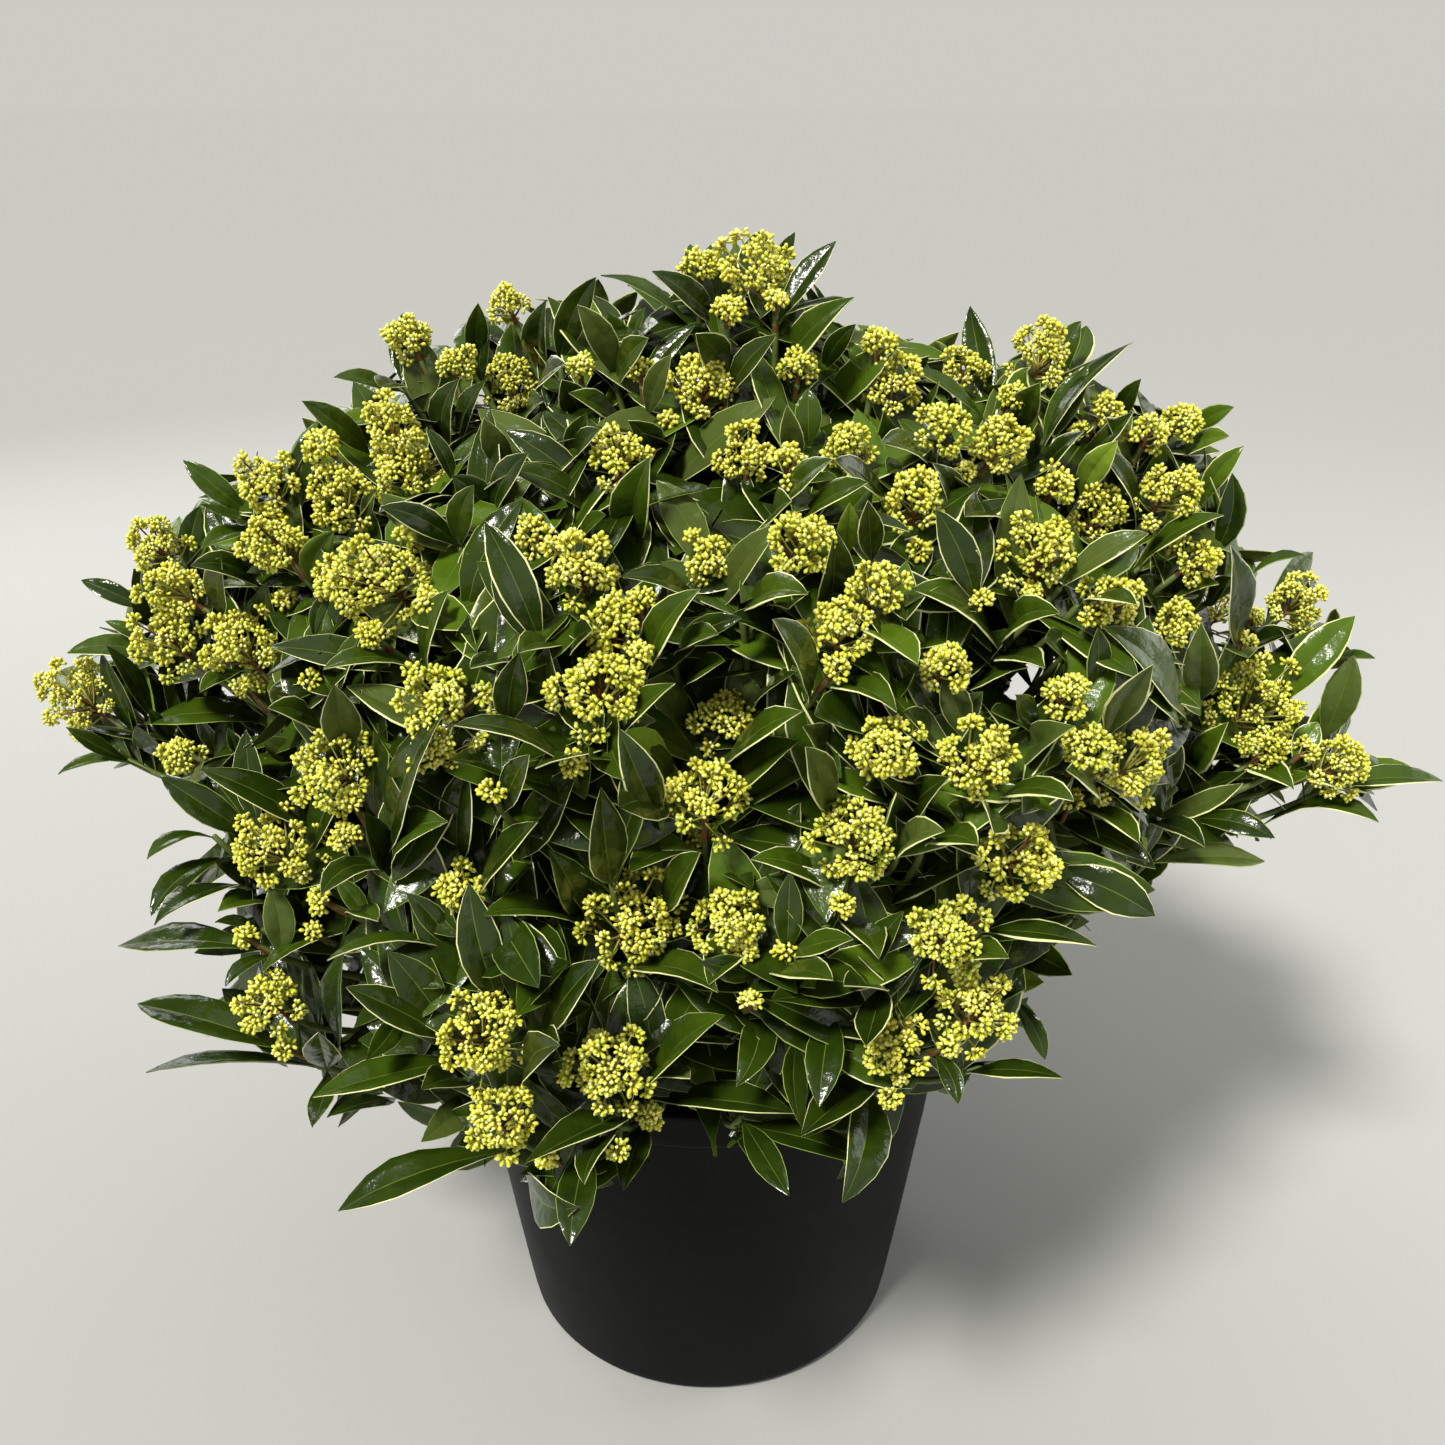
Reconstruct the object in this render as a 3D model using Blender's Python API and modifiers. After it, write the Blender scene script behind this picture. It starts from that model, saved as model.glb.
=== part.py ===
"""Potted Japanese skimmia: a broad evergreen dome on a short stem in a round plastic pot.

Frame: metres, +Z up. The origin is the centre of the pot's flat underside, the front
of the plant looks along -Y and its right side is +X.

Nodes
  pot              turned plastic pot with a rolled lip
  potting_soil     the fill, its top a little below the rim
  main_stem        short stem from its flare at the soil to the fork
  bough_*          one tapering limb for each mass of foliage
  foliage_*        one closed uneven mass of foliage each
"""

import math

import bmesh
import bpy
from mathutils import Matrix, Vector, noise
from mathutils.bvhtree import BVHTree

# ---------------------------------------------------------------- sizes (metres)
GAP = 0.0003                     # air left between pieces that touch in life

POT_HEIGHT = 0.180
POT_BASE_RADIUS = 0.0905         # flat underside
POT_SHOULDER_RADIUS = 0.1130     # wall just below the lip
POT_LIP_RADIUS = 0.1172
POT_LIP_BAND = 0.0165            # depth of the lip band
POT_WALL = 0.0022
POT_FLOOR = 0.0030
POT_STEPS = 56

SOIL_TOP = 0.1635

STEM_FLARE_RADIUS = 0.0170
STEM_RADIUS = 0.0118
STEM_TOP = 0.2230
STEM_LEAN = (0.0030, -0.0010)    # how far the top stands off the foot
STEM_STEPS = 20

# the crown: a dome of masses set round one point inside it
CROWN_HEART = Vector((0.008, -0.002, 0.235))
MASS_SEAT = 0.66                 # where along its reach a mass has its middle
MASS_DEPTH = 0.34                # half depth of a mass, as a share of its reach
MASS_SQUARENESS = 2.5            # 2 is an ellipsoid, more is fuller
MASS_RELIEF = 0.075              # unevenness, as a share of the half depth
SEAM = 0.0005                    # air between two neighbouring masses

# name, azimuth from the right side counter-clockwise (270 is the front), height
# angle, reach from the heart to the outermost foliage, how far the mass spreads from
# its middle to either side, upward and downward, then its underside: the slope in
# degrees at which it rises outward and its height just outside the pot's rim
MASSES = (
    ("top",               60.0, 84.0, 0.276, 0.102, 0.102, 0.102, 0.0, None),
    ("upper_right",        4.0, 47.0, 0.276, 0.104, 0.104, 0.104, 0.0, None),
    ("upper_back_right",  62.0, 44.0, 0.268, 0.104, 0.104, 0.104, 0.0, None),
    ("upper_back_left",  122.0, 43.0, 0.266, 0.104, 0.104, 0.104, 0.0, None),
    ("upper_left",       180.0, 43.0, 0.278, 0.104, 0.104, 0.104, 0.0, None),
    ("upper_front_left", 240.0, 48.0, 0.250, 0.100, 0.100, 0.100, 0.0, None),
    ("upper_front_right", 300.0, 48.0, 0.252, 0.100, 0.100, 0.100, 0.0, None),
    ("right",              4.0, 11.0, 0.324, 0.088, 0.080, 0.072, 31.0, 0.192),
    ("back_right",        40.0, 10.0, 0.286, 0.102, 0.100, 0.085, 20.0, 0.190),
    ("back",              80.0,  9.0, 0.268, 0.100, 0.100, 0.085, 16.0, 0.188),
    ("back_left",        121.0, 10.0, 0.272, 0.102, 0.100, 0.085, 20.0, 0.190),
    ("left",             169.0, 12.0, 0.303, 0.098, 0.096, 0.080, 29.0, 0.190),
    ("front_left",       207.0,  5.0, 0.252, 0.092, 0.100, 0.082, 9.0, 0.179),
    ("front_lower_left", 242.0,  4.0, 0.226, 0.092, 0.100, 0.086, 16.0, 0.162),
    ("front",            281.0,  9.0, 0.218, 0.090, 0.100, 0.090, 32.0, 0.170),
    ("front_right",      319.0, 17.0, 0.220, 0.090, 0.094, 0.085, 38.0, 0.190),
)

BOUGH_SIDES = 8
BOUGH_RINGS = 10


# ---------------------------------------------------------------- scene helpers
def clear_scene():
    for obj in list(bpy.data.objects):
        bpy.data.objects.remove(obj, do_unlink=True)
    for block in list(bpy.data.meshes):
        bpy.data.meshes.remove(block)
    for block in list(bpy.data.curves):
        bpy.data.curves.remove(block)
    for coll in list(bpy.data.collections):
        bpy.data.collections.remove(coll)


def material(name, colour, roughness):
    mat = bpy.data.materials.new(name)
    mat.use_nodes = True
    shader = mat.node_tree.nodes["Principled BSDF"]
    shader.inputs["Base Color"].default_value = (*colour, 1.0)
    shader.inputs["Roughness"].default_value = roughness
    mat.diffuse_color = (*colour, 1.0)
    return mat


def put(obj, coll, mat):
    for owner in list(obj.users_collection):
        owner.objects.unlink(obj)
    coll.objects.link(obj)
    obj.data.materials.clear()
    obj.data.materials.append(mat)
    return obj


def settle(obj):
    """Apply every modifier and leave one plain closed mesh that faces outward."""
    graph = bpy.context.evaluated_depsgraph_get()
    mesh = bpy.data.meshes.new_from_object(obj.evaluated_get(graph))
    obj.modifiers.clear()
    obj.data = mesh
    work = bmesh.new()
    work.from_mesh(mesh)
    bmesh.ops.remove_doubles(work, verts=work.verts, dist=2e-6)
    bmesh.ops.recalc_face_normals(work, faces=work.faces)
    if work.calc_volume(signed=True) < 0.0:
        bmesh.ops.reverse_faces(work, faces=work.faces)
    work.to_mesh(mesh)
    work.free()
    mesh.update()
    return obj


# ---------------------------------------------------------------- turned pieces
def turned(name, profile, steps, coll, mat):
    """A turned solid from a profile of (radius, height), outer side top to bottom."""
    mesh = bpy.data.meshes.new(name)
    mesh.from_pydata([(r, 0.0, z) for r, z in profile],
                     [(i, i + 1) for i in range(len(profile) - 1)
                      if profile[i][0] > 0.0 or profile[i + 1][0] > 0.0], [])
    obj = bpy.data.objects.new(name, mesh)
    bpy.context.scene.collection.objects.link(obj)
    screw = obj.modifiers.new("turn", "SCREW")
    screw.axis = "Z"
    screw.angle = math.tau
    screw.steps = steps
    screw.render_steps = steps
    screw.use_merge_vertices = True
    screw.merge_threshold = 0.00001
    put(obj, coll, mat)
    return settle(obj)


def pot_radius(height):
    """Radius of the outside of the pot's wall at a height."""
    share = height / (POT_HEIGHT - POT_LIP_BAND)
    return POT_BASE_RADIUS + (POT_SHOULDER_RADIUS - POT_BASE_RADIUS) * share ** 0.92


def build_pot(coll, mat):
    lip_foot = POT_HEIGHT - POT_LIP_BAND
    edge = 0.0012
    outer = [
        (POT_LIP_RADIUS - edge, POT_HEIGHT),
        (POT_LIP_RADIUS, POT_HEIGHT - edge),
        (POT_LIP_RADIUS - 0.0006, lip_foot + edge),
        (POT_LIP_RADIUS - edge - 0.0006, lip_foot),
        (pot_radius(lip_foot), lip_foot),
    ]
    for share in (0.62, 0.30):
        outer.append((pot_radius(lip_foot * share), lip_foot * share))
    outer += [(pot_radius(0.0035), 0.0035), (POT_BASE_RADIUS - 0.0030, 0.0), (0.0, 0.0)]
    inner = [(0.0, POT_FLOOR), (POT_BASE_RADIUS - POT_WALL - 0.0025, POT_FLOOR)]
    for share in (0.03, 0.30, 0.62, 1.0):
        inner.append((pot_radius(lip_foot * share) - POT_WALL, lip_foot * share + 0.002 * (share < 0.1)))
    inner += [
        (pot_radius(lip_foot) - POT_WALL + 0.0004, POT_HEIGHT - edge),
        (pot_radius(lip_foot) - POT_WALL + 0.0004 + edge, POT_HEIGHT),
    ]
    loop = outer + inner + [outer[0]]
    return turned("pot", loop, POT_STEPS, coll, mat)


def inside_radius(height):
    lip_foot = POT_HEIGHT - POT_LIP_BAND
    return pot_radius(min(height, lip_foot)) - POT_WALL


def build_soil(coll, mat):
    clearance = GAP + 0.0002
    foot = POT_FLOOR + GAP
    profile = [(0.0, SOIL_TOP), (inside_radius(SOIL_TOP) - clearance - 0.012, SOIL_TOP)]
    profile.append((inside_radius(SOIL_TOP) - clearance - 0.0004, SOIL_TOP - 0.0015))
    lip_foot = POT_HEIGHT - POT_LIP_BAND
    for share in (0.62, 0.30):
        profile.append((inside_radius(lip_foot * share) - clearance, lip_foot * share))
    profile += [
        (POT_BASE_RADIUS - POT_WALL - 0.0040, POT_FLOOR + 0.0075),
        (POT_BASE_RADIUS - POT_WALL - 0.0062, foot),
        (0.0, foot),
    ]
    return turned("potting_soil", profile, POT_STEPS, coll, mat)


def stem_axis(height):
    share = (height - SOIL_TOP) / (STEM_TOP - SOIL_TOP)
    return Vector((STEM_LEAN[0] * share, STEM_LEAN[1] * share, height))


def build_stem(coll, mat):
    foot = SOIL_TOP + GAP
    rise = STEM_TOP - foot
    profile = [(0.0, STEM_TOP), (STEM_RADIUS * 0.55, STEM_TOP - 0.0008),
               (STEM_RADIUS * 0.90, STEM_TOP - 0.0045)]
    for share in (0.80, 0.55, 0.32, 0.16, 0.06, 0.0):
        flare = (STEM_FLARE_RADIUS - STEM_RADIUS) * (1.0 - share) ** 6
        profile.append((STEM_RADIUS + flare, foot + rise * share))
    profile.append((0.0, foot))
    obj = turned("main_stem", profile, STEM_STEPS, coll, mat)
    for vert in obj.data.vertices:
        axis = stem_axis(vert.co.z)
        low = 1.0 - min(1.0, (vert.co.z - foot) / rise)
        turn = math.atan2(vert.co.y, vert.co.x)
        flute = 1.0 + 0.09 * low ** 3 * math.cos(4.0 * turn + 0.7) + 0.03 * math.cos(3.0 * turn)
        vert.co.x = vert.co.x * flute + axis.x
        vert.co.y = vert.co.y * flute + axis.y
    return obj


# ---------------------------------------------------------------- foliage masses
def heading(azimuth, rise):
    a, e = math.radians(azimuth), math.radians(rise)
    return Vector((math.cos(a) * math.cos(e), math.sin(a) * math.cos(e), math.sin(e)))


def mass_seats():
    seats = []
    for name, azimuth, rise, reach, aside, up, down, slope, level in MASSES:
        way = heading(azimuth, rise)
        seats.append((name, way, CROWN_HEART + way * reach * MASS_SEAT, reach,
                      (aside, up, down), (slope, level)))
    return seats


def walls_of(index, seats):
    """The flat limits of one mass: midway to every neighbour, and clear of the pot."""
    name, way, seat, reach, spread, under = seats[index]
    walls = []
    for other, rest in enumerate(seats):
        if other == index:
            continue
        across = rest[2] - seat
        walls.append((across.normalized(), across.length / 2.0 - SEAM / 2.0))
    slope, level = under
    if level is not None:
        out = Vector((way.x, way.y, 0.0)).normalized()
        tilt = math.radians(slope)
        below = out * math.sin(tilt) - Vector((0.0, 0.0, math.cos(tilt)))
        edge = out * (POT_LIP_RADIUS + 0.008) + Vector((0.0, 0.0, level))
        walls.append((below, (edge - seat).dot(below)))
        # it clears the rim: level over the pot, or hanging past it on the outside
        rim = out * (POT_LIP_RADIUS + 0.003) + Vector((0.0, 0.0, POT_HEIGHT + 0.003))
        past = Vector((0.0, 0.0, -1.0)) if level > rim.z else (-out - Vector((0.0, 0.0, 0.85))).normalized()
        walls.append((past, (rim - seat).dot(past)))
    return walls


def mass_radius(way, direction, reach, spread, walls, seed):
    aside, up, down = spread
    level = Vector((-way.y, way.x, 0.0)).normalized()
    rising = way.cross(level)
    along, across, climb = direction.dot(way), direction.dot(level), direction.dot(rising)
    p = MASS_SQUARENESS
    full = (
        (abs(along) / (reach * MASS_DEPTH)) ** p
        + (abs(across) / aside) ** p
        + (abs(climb) / (up if climb > 0.0 else down)) ** p
    ) ** (-1.0 / p)
    rough = noise.noise(direction * 1.9 + Vector((seed * 3.7, seed * 1.3, 0.0)))
    fine = noise.noise(direction * 4.6 + Vector((0.0, seed * 2.9, seed * 5.1)))
    full *= 1.0 + MASS_RELIEF * (1.35 * rough + 0.75 * fine)
    for normal, limit in walls:
        facing = direction.dot(normal)
        if facing > 1e-6:
            full = min(full, limit / facing)
    return full


def build_mass(index, seats, coll, mat):
    name, way, seat, reach, spread, under = seats[index]
    walls = walls_of(index, seats)
    bpy.ops.mesh.primitive_ico_sphere_add(subdivisions=3, radius=1.0, location=(0.0, 0.0, 0.0))
    obj = bpy.context.object
    obj.name = "foliage_" + name
    obj.data.name = obj.name
    turn = Matrix.Rotation(0.8 * index, 3, "Z") @ Matrix.Rotation(0.5 * index, 3, "X")
    for vert in obj.data.vertices:
        direction = (turn @ vert.co).normalized()
        vert.co = seat + direction * mass_radius(way, direction, reach, spread, walls, index + 1)
    put(obj, coll, mat)
    return settle(obj)


# ---------------------------------------------------------------- boughs
def tube(name, path, radii, coll, mat):
    curve = bpy.data.curves.new(name, "CURVE")
    curve.dimensions = "3D"
    curve.bevel_depth = 1.0
    curve.bevel_resolution = BOUGH_SIDES // 4
    curve.use_fill_caps = True
    line = curve.splines.new("POLY")
    line.points.add(len(path) - 1)
    for point, place, radius in zip(line.points, path, radii):
        point.co = (*place, 1.0)
        point.radius = radius
    obj = bpy.data.objects.new(name, curve)
    bpy.context.scene.collection.objects.link(obj)
    graph = bpy.context.evaluated_depsgraph_get()
    mesh = bpy.data.meshes.new_from_object(obj.evaluated_get(graph))
    bpy.data.objects.remove(obj, do_unlink=True)
    solid = bpy.data.objects.new(name, mesh)
    bpy.context.scene.collection.objects.link(solid)
    put(solid, coll, mat)
    return settle(solid)


def bough_path(start, leave, end, rings):
    """A limb that leaves the stem one way and bends toward its mass."""
    reach = (end - start).length
    bend = start + leave * reach * 0.45
    path = []
    for i in range(rings):
        t = i / (rings - 1)
        path.append(start * (1 - t) ** 2 + bend * 2 * t * (1 - t) + end * t * t)
    return path


def first_hit(tree, start, way, radius):
    """How far a round limb runs before it meets a mass."""
    side = way.orthogonal().normalized()
    other = way.cross(side)
    best = None
    for k in range(9):
        ring = Vector() if k == 8 else (side * math.cos(k * math.pi / 4) + other * math.sin(k * math.pi / 4)) * radius
        hit = tree.ray_cast(start + ring, way)
        if hit[0] is not None:
            best = hit[3] if best is None else min(best, hit[3])
    return best


def clear_of(limb, tree, mass):
    """True when a limb and a mass stay at least the gap apart."""
    own = BVHTree.FromPolygons([v.co.copy() for v in limb.data.vertices],
                               [p.vertices[:] for p in limb.data.polygons])
    if own.overlap(tree):
        return False
    near = min(tree.find_nearest(v.co)[3] for v in limb.data.vertices)
    far = min(own.find_nearest(v.co)[3] for v in mass.data.vertices)
    return min(near, far) >= GAP


def build_bough(index, seats, mass, tier, cutter, coll, mat):
    name, way, seat, reach, spread, under = seats[index]
    height, base_radius, tip_radius, climb = tier
    foot = stem_axis(height)
    out = Vector((way.x, way.y, 0.0)).normalized() if name != "top" else Vector((0.0, 0.0, 1.0))
    leave = (out + Vector((0.0, 0.0, climb))).normalized()
    # the limb's last stretch points at the middle of the mass
    hollow = CROWN_HEART.lerp(seat, 0.30) + (foot - CROWN_HEART) * 0.25
    way_in = (seat - hollow).normalized()
    tree = BVHTree.FromPolygons([v.co.copy() for v in mass.data.vertices],
                                [p.vertices[:] for p in mass.data.polygons])
    run = first_hit(tree, hollow, way_in, tip_radius * 1.3)
    radii = []
    for i in range(BOUGH_RINGS):
        t = i / (BOUGH_RINGS - 1)
        radii.append(base_radius + (tip_radius - base_radius) * t ** 0.9)
    # the tip is drawn back until the gap to the mass is clear all round
    for pull in range(16):
        end = hollow + way_in * (run - (3.0 + 2.0 * pull) * GAP)
        limb = tube("bough_" + name, bough_path(foot, leave, end, BOUGH_RINGS), radii, coll, mat)
        if clear_of(limb, tree, mass):
            break
        bpy.data.objects.remove(limb, do_unlink=True)
    trim = limb.modifiers.new("stem", "BOOLEAN")
    trim.operation = "DIFFERENCE"
    trim.solver = "EXACT"
    trim.object = cutter
    return settle(limb)


def stem_cutter(stem, coll):
    """The stem grown by the gap: limbs are cut off against it."""
    mesh = stem.data.copy()
    mesh.name = "stem_clearance"
    cutter = bpy.data.objects.new("stem_clearance", mesh)
    coll.objects.link(cutter)
    for vert in mesh.vertices:
        axis = stem_axis(vert.co.z)
        side = Vector((vert.co.x - axis.x, vert.co.y - axis.y, 0.0))
        if side.length > 1e-6:
            side *= (side.length + 1.6 * GAP) / side.length
        lift = 1.6 * GAP * (vert.co.z - SOIL_TOP) / (STEM_TOP - SOIL_TOP)
        vert.co = Vector((axis.x + side.x, axis.y + side.y, vert.co.z + lift))
    cutter.hide_render = True
    cutter.display_type = "WIRE"
    return cutter


# ---------------------------------------------------------------- the object
def main():
    clear_scene()
    scene = bpy.context.scene
    coll = bpy.data.collections.new("potted_japanese_skimmia")
    tools = bpy.data.collections.new("cutters")
    scene.collection.children.link(coll)
    scene.collection.children.link(tools)

    pot_mat = material("charcoal_plastic", (0.022, 0.024, 0.025), 0.55)
    soil_mat = material("potting_compost", (0.035, 0.024, 0.016), 0.95)
    bark_mat = material("brown_bark", (0.115, 0.085, 0.050), 0.85)
    twig_mat = material("green_brown_bark", (0.120, 0.125, 0.050), 0.75)
    leaf_mats = [
        material("foliage_deep_green", (0.045, 0.080, 0.022), 0.45),
        material("foliage_mid_green", (0.070, 0.110, 0.030), 0.45),
        material("foliage_yellow_green", (0.150, 0.170, 0.045), 0.50),
    ]

    build_pot(coll, pot_mat)
    build_soil(coll, soil_mat)
    stem = build_stem(coll, bark_mat)
    cutter = stem_cutter(stem, tools)

    seats = mass_seats()
    masses = []
    for index in range(len(seats)):
        masses.append(build_mass(index, seats, coll, leaf_mats[index % 3]))

    for index, (name, *_rest) in enumerate(seats):
        if name == "top":
            tier = (STEM_TOP - 0.010, 0.0052, 0.0030, 1.0)
        elif name.startswith("upper"):
            tier = (STEM_TOP - 0.0125, 0.0042, 0.0026, 0.85)
        else:
            tier = (STEM_TOP - 0.0290, 0.0036, 0.0022, 0.30)
        build_bough(index, seats, masses[index], tier, cutter, coll, twig_mat)

    bpy.data.objects.remove(cutter, do_unlink=True)
    bpy.data.collections.remove(tools)


main()
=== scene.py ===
import math

import bmesh
import bpy
import numpy as np
from mathutils import Matrix, Vector, noise
from mathutils.bvhtree import BVHTree


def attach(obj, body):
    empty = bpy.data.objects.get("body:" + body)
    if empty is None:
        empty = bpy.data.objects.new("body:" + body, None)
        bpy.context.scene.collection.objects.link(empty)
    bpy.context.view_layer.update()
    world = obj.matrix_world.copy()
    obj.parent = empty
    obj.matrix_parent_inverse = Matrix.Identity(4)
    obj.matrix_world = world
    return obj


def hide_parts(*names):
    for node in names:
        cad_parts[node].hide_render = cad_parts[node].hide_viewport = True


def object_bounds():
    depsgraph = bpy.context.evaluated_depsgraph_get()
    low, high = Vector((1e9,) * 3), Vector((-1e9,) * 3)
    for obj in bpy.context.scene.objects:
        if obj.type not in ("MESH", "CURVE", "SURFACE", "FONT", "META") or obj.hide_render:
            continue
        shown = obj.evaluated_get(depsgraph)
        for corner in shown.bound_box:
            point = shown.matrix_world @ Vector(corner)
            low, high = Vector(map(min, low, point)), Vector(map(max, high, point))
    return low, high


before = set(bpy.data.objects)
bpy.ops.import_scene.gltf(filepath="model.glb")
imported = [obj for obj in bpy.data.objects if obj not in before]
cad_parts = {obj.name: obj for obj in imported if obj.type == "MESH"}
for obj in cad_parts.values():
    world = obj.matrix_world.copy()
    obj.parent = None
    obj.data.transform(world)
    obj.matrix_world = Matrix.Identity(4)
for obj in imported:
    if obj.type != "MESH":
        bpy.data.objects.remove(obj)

CAD_LOW, CAD_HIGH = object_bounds()
RNG = np.random.default_rng(41)

# ------------------------------------------------------------------ camera
IMAGE = 1445.0
FOCAL = 1447.0
CAM_AT = np.array([0.0069, -0.588, 0.560])
CAM_DOWN = math.radians(23.6)


def ray(x, y):
    """Direction of sight through a point of the photographed frame."""
    dx, dy = (x - IMAGE / 2) / FOCAL, (y - IMAGE / 2) / FOCAL
    c, s = math.cos(CAM_DOWN), math.sin(CAM_DOWN)
    v = np.array([dx, c - dy * s, -s - dy * c])
    return v / np.linalg.norm(v)


def project(p):
    p = np.asarray(p, float) - CAM_AT
    c, s = math.cos(CAM_DOWN), math.sin(CAM_DOWN)
    depth = p[..., 1] * c - p[..., 2] * s
    down = -p[..., 2] * c - p[..., 1] * s
    return np.stack([IMAGE / 2 + FOCAL * p[..., 0] / depth, IMAGE / 2 + FOCAL * down / depth, depth], -1)


# ------------------------------------------------------------------ small vector helpers
def unit(v):
    v = np.asarray(v, float)
    n = np.linalg.norm(v, axis=-1, keepdims=True)
    return v / np.where(n < 1e-12, 1.0, n)


def dot(a, b):
    return (a * b).sum(-1, keepdims=True)


def across_of(axis):
    """Two unit vectors square to each axis."""
    axis = np.atleast_2d(axis)
    ref = np.where(np.abs(axis[:, 2:3]) > 0.9, np.array([[1.0, 0.0, 0.0]]), np.array([[0.0, 0.0, 1.0]]))
    e1 = unit(np.cross(ref, axis))
    return e1, np.cross(axis, e1)


def bezier(p0, p1, p2, p3, n):
    t = np.linspace(0.0, 1.0, n)[:, None]
    return (1 - t) ** 3 * p0 + 3 * (1 - t) ** 2 * t * p1 + 3 * (1 - t) * t * t * p2 + t ** 3 * p3


# ------------------------------------------------------------------ meshes from arrays
class Heap:
    """Collects points and faces of one kind and makes one joined mesh of them."""

    def __init__(self):
        self.points, self.faces, self.mats, self.count = [], {3: [], 4: []}, {3: [], 4: []}, 0

    def add(self, points, faces, mats):
        points = np.asarray(points, float).reshape(-1, 3)
        faces = np.asarray(faces, int)
        self.points.append(points)
        k = faces.shape[1]
        self.faces[k].append(faces + self.count)
        self.mats[k].append(np.broadcast_to(np.asarray(mats, int), (len(faces),)))
        self.count += len(points)

    def more_faces(self, faces, mats, first):
        faces = np.asarray(faces, int)
        k = faces.shape[1]
        self.faces[k].append(faces + first)
        self.mats[k].append(np.broadcast_to(np.asarray(mats, int), (len(faces),)))

    def triangles(self):
        return sum(len(f) for f in self.faces[3]) + 2 * sum(len(f) for f in self.faces[4])

    def mesh(self, name, materials, smooth=True):
        co = np.concatenate(self.points)
        loops, totals, mats = [], [], []
        for k in (3, 4):
            if self.faces[k]:
                f = np.concatenate(self.faces[k])
                loops.append(f.ravel())
                totals.append(np.full(len(f), k))
                mats.append(np.concatenate(self.mats[k]))
        loops, totals, mats = np.concatenate(loops), np.concatenate(totals), np.concatenate(mats)
        me = bpy.data.meshes.new(name)
        me.vertices.add(len(co))
        me.vertices.foreach_set("co", co.astype(np.float32).ravel())
        me.loops.add(len(loops))
        me.loops.foreach_set("vertex_index", loops.astype(np.int32))
        me.polygons.add(len(totals))
        me.polygons.foreach_set("loop_start", np.concatenate([[0], np.cumsum(totals)[:-1]]).astype(np.int32))
        me.polygons.foreach_set("loop_total", totals.astype(np.int32))
        me.polygons.foreach_set("material_index", mats.astype(np.int32))
        me.polygons.foreach_set("use_smooth", np.full(len(totals), smooth))
        for m in materials:
            me.materials.append(m)
        me.update(calc_edges=True)
        me.validate()
        obj = bpy.data.objects.new(name, me)
        bpy.context.scene.collection.objects.link(obj)
        return obj


def tube(heap, path, radii, sides, mat, cap=True, relief=None):
    """A round limb along a path."""
    path = np.asarray(path, float)
    n = len(path)
    radii = np.broadcast_to(np.asarray(radii, float), (n,))
    tangent = unit(np.gradient(path, axis=0))
    side, up = across_of(tangent[:1])
    frames = [(side[0], up[0])]
    for i in range(1, n):
        s = frames[-1][0] - tangent[i] * np.dot(frames[-1][0], tangent[i])
        s = unit(s)
        frames.append((s, np.cross(tangent[i], s)))
    a = np.arange(sides) * (math.tau / sides)
    pts = np.empty((n, sides, 3))
    for i, (s, u) in enumerate(frames):
        r = radii[i] if relief is None else radii[i] * relief(i / (n - 1), a)[:, None]
        pts[i] = path[i] + r * (np.cos(a)[:, None] * s + np.sin(a)[:, None] * u)
    i, j = np.meshgrid(np.arange(n - 1), np.arange(sides), indexing="ij")
    k = (j + 1) % sides
    quads = np.stack([i * sides + j, i * sides + k, (i + 1) * sides + k, (i + 1) * sides + j], -1).reshape(-1, 4)
    first = heap.count
    if cap:
        all_pts = np.concatenate([pts.reshape(-1, 3), path[:1], path[-1:] + tangent[-1:] * radii[-1] * 0.6])
        heap.add(all_pts, quads, mat)
        m = np.arange(sides)
        k = (m + 1) % sides
        heap.more_faces(np.stack([k, m, np.full(sides, n * sides)], -1), mat, first)
        heap.more_faces(np.stack([m + (n - 1) * sides, k + (n - 1) * sides, np.full(sides, n * sides + 1)], -1), mat, first)
    else:
        heap.add(pts.reshape(-1, 3), quads, mat)


# ------------------------------------------------------------------ materials
def principled(name):
    mat = bpy.data.materials.new(name)
    mat.use_nodes = True
    tree = mat.node_tree
    return mat, tree, tree.nodes["Principled BSDF"]


def node(tree, kind, **values):
    made = tree.nodes.new(kind)
    for key, value in values.items():
        if key in made.inputs:
            made.inputs[key].default_value = value
        else:
            setattr(made, key, value)
    return made


def noise_colour(tree, shader, low, high, scale, detail=3.0, coords="Object", lowpos=0.3, highpos=0.7):
    where = tree.nodes.new("ShaderNodeTexCoord")
    field = node(tree, "ShaderNodeTexNoise", Scale=scale, Detail=detail)
    tree.links.new(where.outputs[coords], field.inputs["Vector"])
    ramp = tree.nodes.new("ShaderNodeValToRGB")
    ramp.color_ramp.elements[0].position = lowpos
    ramp.color_ramp.elements[0].color = (*low, 1.0)
    ramp.color_ramp.elements[1].position = highpos
    ramp.color_ramp.elements[1].color = (*high, 1.0)
    tree.links.new(field.outputs["Fac"], ramp.inputs["Fac"])
    tree.links.new(ramp.outputs["Color"], shader.inputs["Base Color"])
    return where, field, ramp


def bump(tree, shader, where, scale, strength, distance, detail=3.0, coords="Object", kind="noise"):
    if kind == "noise":
        field = node(tree, "ShaderNodeTexNoise", Scale=scale, Detail=detail)
    else:
        field = node(tree, "ShaderNodeTexVoronoi", Scale=scale)
    tree.links.new(where.outputs[coords], field.inputs["Vector"])
    height = node(tree, "ShaderNodeBump", Strength=strength, Distance=distance)
    tree.links.new(field.outputs["Fac" if kind == "noise" else "Distance"], height.inputs["Height"])
    tree.links.new(height.outputs["Normal"], shader.inputs["Normal"])
    return field


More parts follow.
